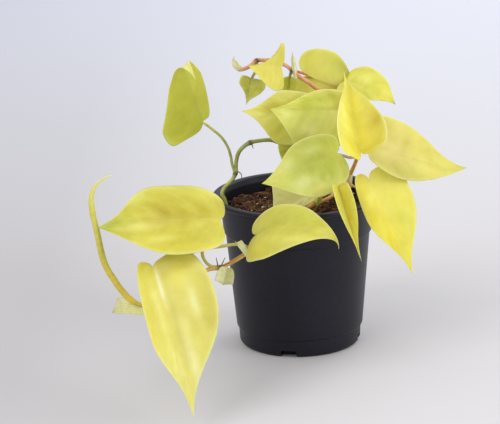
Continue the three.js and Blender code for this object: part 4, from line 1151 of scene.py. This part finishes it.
def pot_material():
    """Charcoal plastic: satin, faintly cloudy, with a fine moulded grain."""
    material, tree, shader, place = start_material(
        "pot_plastic_satin", Specular_IOR_Level=0.34, Specular_Tint=(0.82, 0.85, 1.0, 1.0),
    )
    clouds = effect(tree, MOTTLE, place, 28.0, 1.8)
    scuffs = effect(tree, MOTTLE, place, 420.0, 5.0)
    colour = blend(tree, clouds, light_of("#0b0b12"), light_of("#121219"))
    colour = tinge(tree, colour, scuffs, 0.05, "#3c3a3c")
    plug(tree, shader.inputs["Roughness"], sums(tree, "MULTIPLY_ADD", clouds, 0.12, 0.38))
    finish(tree, shader, colour, effect(tree, GRAIN, place, 1400.0, 0.3), 0.00005, 0.5)
    return material


def cut_notches(piece):
    """Takes four boxes out of the foot and keeps the result as the piece's own mesh."""
    parts = Parts()
    for number in range(NOTCH["count"]):
        angle = np.radians(NOTCH["first"] + 360 * number / NOTCH["count"])
        signs = np.array([[x, y, z] for z in (-1, 1) for y in (-1, 1) for x in (-1, 1)], float)
        box = signs * [NOTCH["depth"] / 2, NOTCH["width"] / 2, NOTCH["height"]] + [NOTCH["at"], 0, 0]
        turn = np.array([[np.cos(angle), -np.sin(angle), 0], [np.sin(angle), np.cos(angle), 0], [0, 0, 1]])
        quads = [[0, 2, 3, 1], [4, 5, 7, 6], [0, 1, 5, 4], [2, 6, 7, 3], [0, 4, 6, 2], [1, 3, 7, 5]]
        parts.add(box @ turn.T, quads)
    mesh = bpy.data.meshes.new("notches")
    points, quads = np.concatenate(parts.points) * MM, np.concatenate(parts.quads)
    mesh.from_pydata(points.tolist(), [], quads.tolist())
    cutter = show("notches", mesh)
    modifier = piece.modifiers.new("notches", "BOOLEAN")
    modifier.operation = "DIFFERENCE"
    modifier.solver = "EXACT"
    modifier.object = cutter
    evaluated = piece.evaluated_get(bpy.context.evaluated_depsgraph_get())
    cut = bpy.data.meshes.new_from_object(evaluated)
    piece.modifiers.clear()
    piece.data = cut
    bpy.data.objects.remove(cutter)
    cut.set_sharp_from_angle(angle=SHARP_ANGLE)


POT_PLASTIC = pot_material()
turned_pot = turned(rounded_profile(POT_PROFILE), POT_SEGMENTS)
pot = single("pot_shell", POT_PLASTIC, "pot_plastic", "pot", *turned_pot)
cut_notches(pot)
print("pot polygons:", len(pot.data.polygons), "height", POT_HEIGHT)

# %% [markdown]
# ## The soil
# Potting mix for this plant is mostly coir, the brown fibre of coconut husk, with peat crumbs and
# white grains of perlite. From the side only a strip of it shows, from above all of it. The bed is a
# disc of rings with a lumpy height. Crumbs, fibres and grains are scattered on it as three pieces
# whose forms are worked out together, a few dozen faces each.

# %% Soil
SOIL_EDGE = 50.9
SOIL_SWELL = (0.8, 3, 9.0)
BED_RINGS = 64
BED_HOLE = 0.012
# radius and height, from the pot's floor up its wall
SOIL_WALL = [(39.5, 2.1), (41.4, 3.6), (42.0, 11.8), (43.3, 14.2), (49.4, 81.2), (50.7, 84.3)]
RANDOM = np.random.default_rng(7)


def lumps(x, y, size, seed, waves=26):
    """Smooth hills between about -1 and 1: waves of random directions and lengths, added up."""
    draw = np.random.default_rng(seed)
    angle = draw.uniform(0, 2 * np.pi, waves)
    stretch = draw.uniform(0.6, 1.7, waves) * 2 * np.pi / size
    phase = draw.uniform(0, 2 * np.pi, waves)
    total = np.sin(
        x[..., None] * np.cos(angle) * stretch + y[..., None] * np.sin(angle) * stretch + phase
    ).sum(-1)
    return total / np.sqrt(waves)


def soil_height(x, y):
    """The bed's gentle swell, with hills of 9 mm and crumbs of 3 mm on it, level at the wall."""
    radius, angle = np.hypot(x, y), np.arctan2(y, x)
    height, count, lag = SOIL_SWELL
    swell = height * np.sin(count * angle + radius / lag) * radius / SOIL_EDGE
    return SOIL_TOP + swell + 0.5 * lumps(x, y, 9.0, 3) + 0.3 * lumps(x, y, 3.0, 4) - 0.1


def soil_bed():
    """Up the pot's wall from its floor, then rings from the wall to the middle."""
    radii = SOIL_EDGE * np.linspace(1, BED_HOLE, BED_RINGS)
    x, y = (radii[:, None] * direction for direction in circle(POT_SEGMENTS).T)
    top = np.stack([x, y, soil_height(x, y)], axis=2)
    skirt = carried_round(np.array(SOIL_WALL), POT_SEGMENTS)
    poles = [[0, 0, SOIL_WALL[0][1]], [0, 0, top[-1, :, 2].mean()]]
    return closed_rings(np.concatenate([skirt, top]), poles)


def soil_material(name, light, deep, scale):
    """Brown in two tones with darker blotches, quite rough, and nearly black low in the pot: painted shade
    deep inside the pot.
    """
    material, tree, shader, place = start_material(name, Roughness=0.92, Specular_IOR_Level=0.2)
    tones = effect(tree, MOTTLE, place, scale, 3.0)
    fine = effect(tree, MOTTLE, place, scale * 6, 3.0)
    colour = blend(tree, tones, light_of(deep), light_of(light))
    colour = tinge(tree, colour, fine, 0.5, deep)
    height = put(tree, "ShaderNodeSeparateXYZ", place).outputs[2]
    # painted shade: below 90 mm the soil darkens to nearly black by 60 mm, as the pot's inside is dark
    # there
    colour = blend(tree, between(tree, height, 0.06, 0.09), light_of("#0b0908"), colour)
    finish(tree, shader, colour, effect(tree, GRAIN, place, 900.0, 0.7), 0.0004, 0.8)
    return material


SOIL_BROWN = soil_material("coir_bed", "#54362a", "#150d0b", 130.0)
CRUMB_BROWN = soil_material("coir_crumbs", "#70482f", "#17100d", 160.0)
FIBRE_BROWN = soil_material("coir_fibre", "#b08858", "#6a4529", 160.0)
PERLITE_WHITE = soil_material("perlite", "#efece4", "#cfcabd", 500.0)
bed = single("soil_bed", SOIL_BROWN, "potting_soil", "potting_soil", *soil_bed())
print("soil bed points:", len(bed.data.vertices))

# %% [markdown]
# Crumbs and perlite are little stones: a ball of 42 points whose points are pushed in and out, each
# stone turned its own way. A fibre is a bent thread of six short spans.

# %% Crumbs, fibres and perlite
CRUMBS = 900
FIBRES = 420
GRAINS = 46


def ball():
    """A ball of 42 points and 80 triangles: an icosahedron with its edges halved."""
    golden = (1 + 5**0.5) / 2
    corners = [(0, a, b * golden) for a in (-1, 1) for b in (-1, 1)]
    corners = np.array([np.roll(c, k) for k in range(3) for c in corners], float)
    apart = np.linalg.norm(corners[:, None] - corners[None], axis=2)
    near = (apart > 0.1) & (apart < 2.1)
    i, j, k = np.nonzero(near[:, :, None] & near[:, None, :] & near[None, :, :])
    faces = np.stack([i, j, k], axis=1)[(i < j) & (j < k)]
    a, b, c = (corners[faces[:, n]] for n in range(3))
    inward = np.einsum("ij,ij->i", np.cross(b - a, c - a), a + b + c) < 0
    faces[inward] = faces[inward][:, ::-1]
    pairs = np.sort(np.concatenate([faces[:, [0, 1]], faces[:, [1, 2]], faces[:, [2, 0]]]), axis=1)
    edges, which = np.unique(pairs, axis=0, return_inverse=True)
    middle = len(corners) + which.reshape(3, -1).T
    points = unit(np.concatenate([corners, corners[edges].mean(1)]))
    (p, q, r), (d, e, f) = faces.T, middle.T
    quarter = [(p, d, f), (d, q, e), (f, e, r), (d, e, f)]
    return points, np.concatenate([np.stack(t, axis=1) for t in quarter])


def on_soil(count, edge=SOIL_EDGE - 0.8):
    """Random places on the bed, even over its area."""
    radius = edge * np.sqrt(RANDOM.uniform(0, 1, count))
    angle = RANDOM.uniform(0, 2 * np.pi, count)
    return radius * np.cos(angle), radius * np.sin(angle)


def stones(x, y, size, flat=0.7, rough=0.28):
    """Balls with random bumps, stretched and turned, sunk by a third into the bed."""
    points, faces = ball()
    count = len(x)
    bumps = 1 + rough * RANDOM.uniform(-1, 1, (count, len(points), 1))
    stretch = RANDOM.uniform(flat, 1.15, (count, 1, 3))
    turn = np.linalg.qr(RANDOM.normal(size=(count, 3, 3)))[0]
    turn *= np.sign(np.linalg.det(turn))[:, None, None]
    shape = np.einsum("nij,nkj->nki", turn, points * bumps * stretch) * size[:, None, None]
    centre = np.stack([x, y, soil_height(x, y) + 0.3 * size], axis=1)
    all_faces = faces[None] + (np.arange(count) * len(points))[:, None, None]
    return (shape + centre[:, None]).reshape(-1, 3), all_faces.reshape(-1, 3)


def fibres(count, length, radius):
    """Threads that start on the bed, bend in plan and lift off a little, with four sides each."""
    x, y = on_soil(count, SOIL_EDGE - 4)
    s = np.linspace(-0.5, 0.5, 8)
    heading = RANDOM.uniform(0, 2 * np.pi, count)[:, None]
    bend = RANDOM.uniform(-2.4, 2.4, count)[:, None]
    long = RANDOM.uniform(*length, count)[:, None]
    angle = heading + bend * s
    px = x[:, None] + np.cumsum(np.cos(angle), axis=1) * long / 8
    py = y[:, None] + np.cumsum(np.sin(angle), axis=1) * long / 8
    far = np.hypot(px, py)
    inside = np.minimum(1, (SOIL_EDGE - 1) / far)
    px, py = px * inside, py * inside
    lift = 0.35 + RANDOM.uniform(0, 1.6, count)[:, None] * (1 - (2 * s) ** 2)
    line = np.stack([px, py, soil_height(px, py) + lift], axis=2)
    tangent = unit(np.gradient(line, axis=1))
    side = unit(np.cross(tangent, [0, 0, 1.0]))
    above = np.cross(side, tangent)
    thick = RANDOM.uniform(*radius, count)[:, None, None, None]
    turn = 0.5 * np.pi * np.arange(4)[None, None, :, None]
    ring = np.cos(turn) * side[:, :, None] + np.sin(turn) * above[:, :, None]
    points = (line[:, :, None] + thick * ring).reshape(count, -1, 3)
    corner = (np.arange(7)[:, None] * 4 + np.arange(4)).ravel()
    beside = (np.arange(7)[:, None] * 4 + (np.arange(4) + 1) % 4).ravel()
    quads = np.stack([corner, corner + 4, beside + 4, beside], axis=1)
    quads = np.concatenate([quads, [[0, 1, 2, 3], [31, 30, 29, 28]]])
    all_quads = quads[None] + (np.arange(count) * 32)[:, None, None]
    return points.reshape(-1, 3), all_quads.reshape(-1, 4)


def stone_piece(name, material, count, sizes, **shape):
    """Scatters stones over the bed: first their places are drawn, then their sizes and forms."""
    x, y = on_soil(count)
    points, faces = stones(x, y, sizes(count), **shape)
    single(name, material, "potting_soil", "potting_soil", points, triangles=faces)


stone_piece("soil_crumbs", CRUMB_BROWN, CRUMBS, lambda n: RANDOM.gamma(3.0, 0.22, n) + 0.25)
threads = fibres(FIBRES, (5, 22), (0.12, 0.3))
single("soil_fibres", FIBRE_BROWN, "potting_soil", "potting_soil", *threads)
stone_piece("soil_perlite", PERLITE_WHITE, GRAINS, lambda n: RANDOM.uniform(0.5, 1.5, n), rough=0.2)
print("crumbs, fibres, grains:", CRUMBS, FIBRES, GRAINS)

# %% [markdown]
# ## Floor and light
# The plant stands on a pale table that runs on as the background. A large soft light from the left
# front gives the leaves their glow and a wider one fills in from the right front. A third from the
# right back brightens the table behind the plant and throws faint shadows forwards. The sky is a
# pale cool grey, so that shadows stay light. The table's colour is painted a little warmer and darker
# at the near left and paler and cooler far off: a painted falloff of the light across it.

# %% Floor and light
FLOOR_SIZE = 12.0


def floor_piece():
    """A square far wider than the picture shows, just under the pot."""
    half = FLOOR_SIZE / 2
    mesh = bpy.data.meshes.new("table")
    mesh.from_pydata([(-half, -half, 0), (half, -half, 0), (half, half, 0), (-half, half, 0)], [],
                     [(0, 1, 2, 3)])
    material, tree, shader, place = start_material("table_paper", Roughness=0.6, Specular_IOR_Level=0.2)
    across, away, _ = put(tree, "ShaderNodeSeparateXYZ", place).outputs
    # painted light and shade: darker and warmer near the left front, paler and cooler far off, as the
    # light falls off across the table
    near = blend(tree, between(tree, across, -0.2, -0.05), light_of("#c4c1c0"), light_of("#d9d6d5"))
    far = blend(tree, between(tree, across, -0.4, 0.1), light_of("#d4d5dd"), light_of("#e8eaf1"))
    plug(tree, shader.inputs["Base Color"], blend(tree, between(tree, away, 0.2, 1.3), near, far))
    mesh.materials.append(material)
    table = show("table", mesh)


def softbox(name, place, aim, size, power, colour=(1, 1, 1)):
    """A square area light that faces its aim."""
    light = bpy.data.lights.new(name, "AREA")
    light.shape = "SQUARE"
    light.size = size
    light.energy = power
    light.color = colour
    lamp = show(name, light)
    lamp.location = place
    lamp.rotation_euler = (Vector(aim) - Vector(place)).to_track_quat("-Z", "Y").to_euler()


def sky():
    """One pale colour all round."""
    world = bpy.data.worlds.new("studio")
    world.use_nodes = True
    background = world.node_tree.nodes["Background"]
    background.inputs["Color"].default_value = light_of("#eceef6")
    background.inputs["Strength"].default_value = 0.85
    bpy.context.scene.world = world


floor_piece()
softbox("key", (-1.3, -1.5, 1.8), (0, 0, 0.1), 1.3, 22.5, (1.0, 0.99, 0.96))
softbox("fill", (1.8, -1.1, 1.1), (0, 0, 0.1), 1.5, 19)
softbox("back", (1.2, 1.5, 1.9), (0.1, 0.2, 0), 1.3, 12)
sky()
bpy.context.scene.view_settings.view_transform = "Standard"
bpy.context.scene.cycles.use_denoising = True
print("lights: key, fill, back")
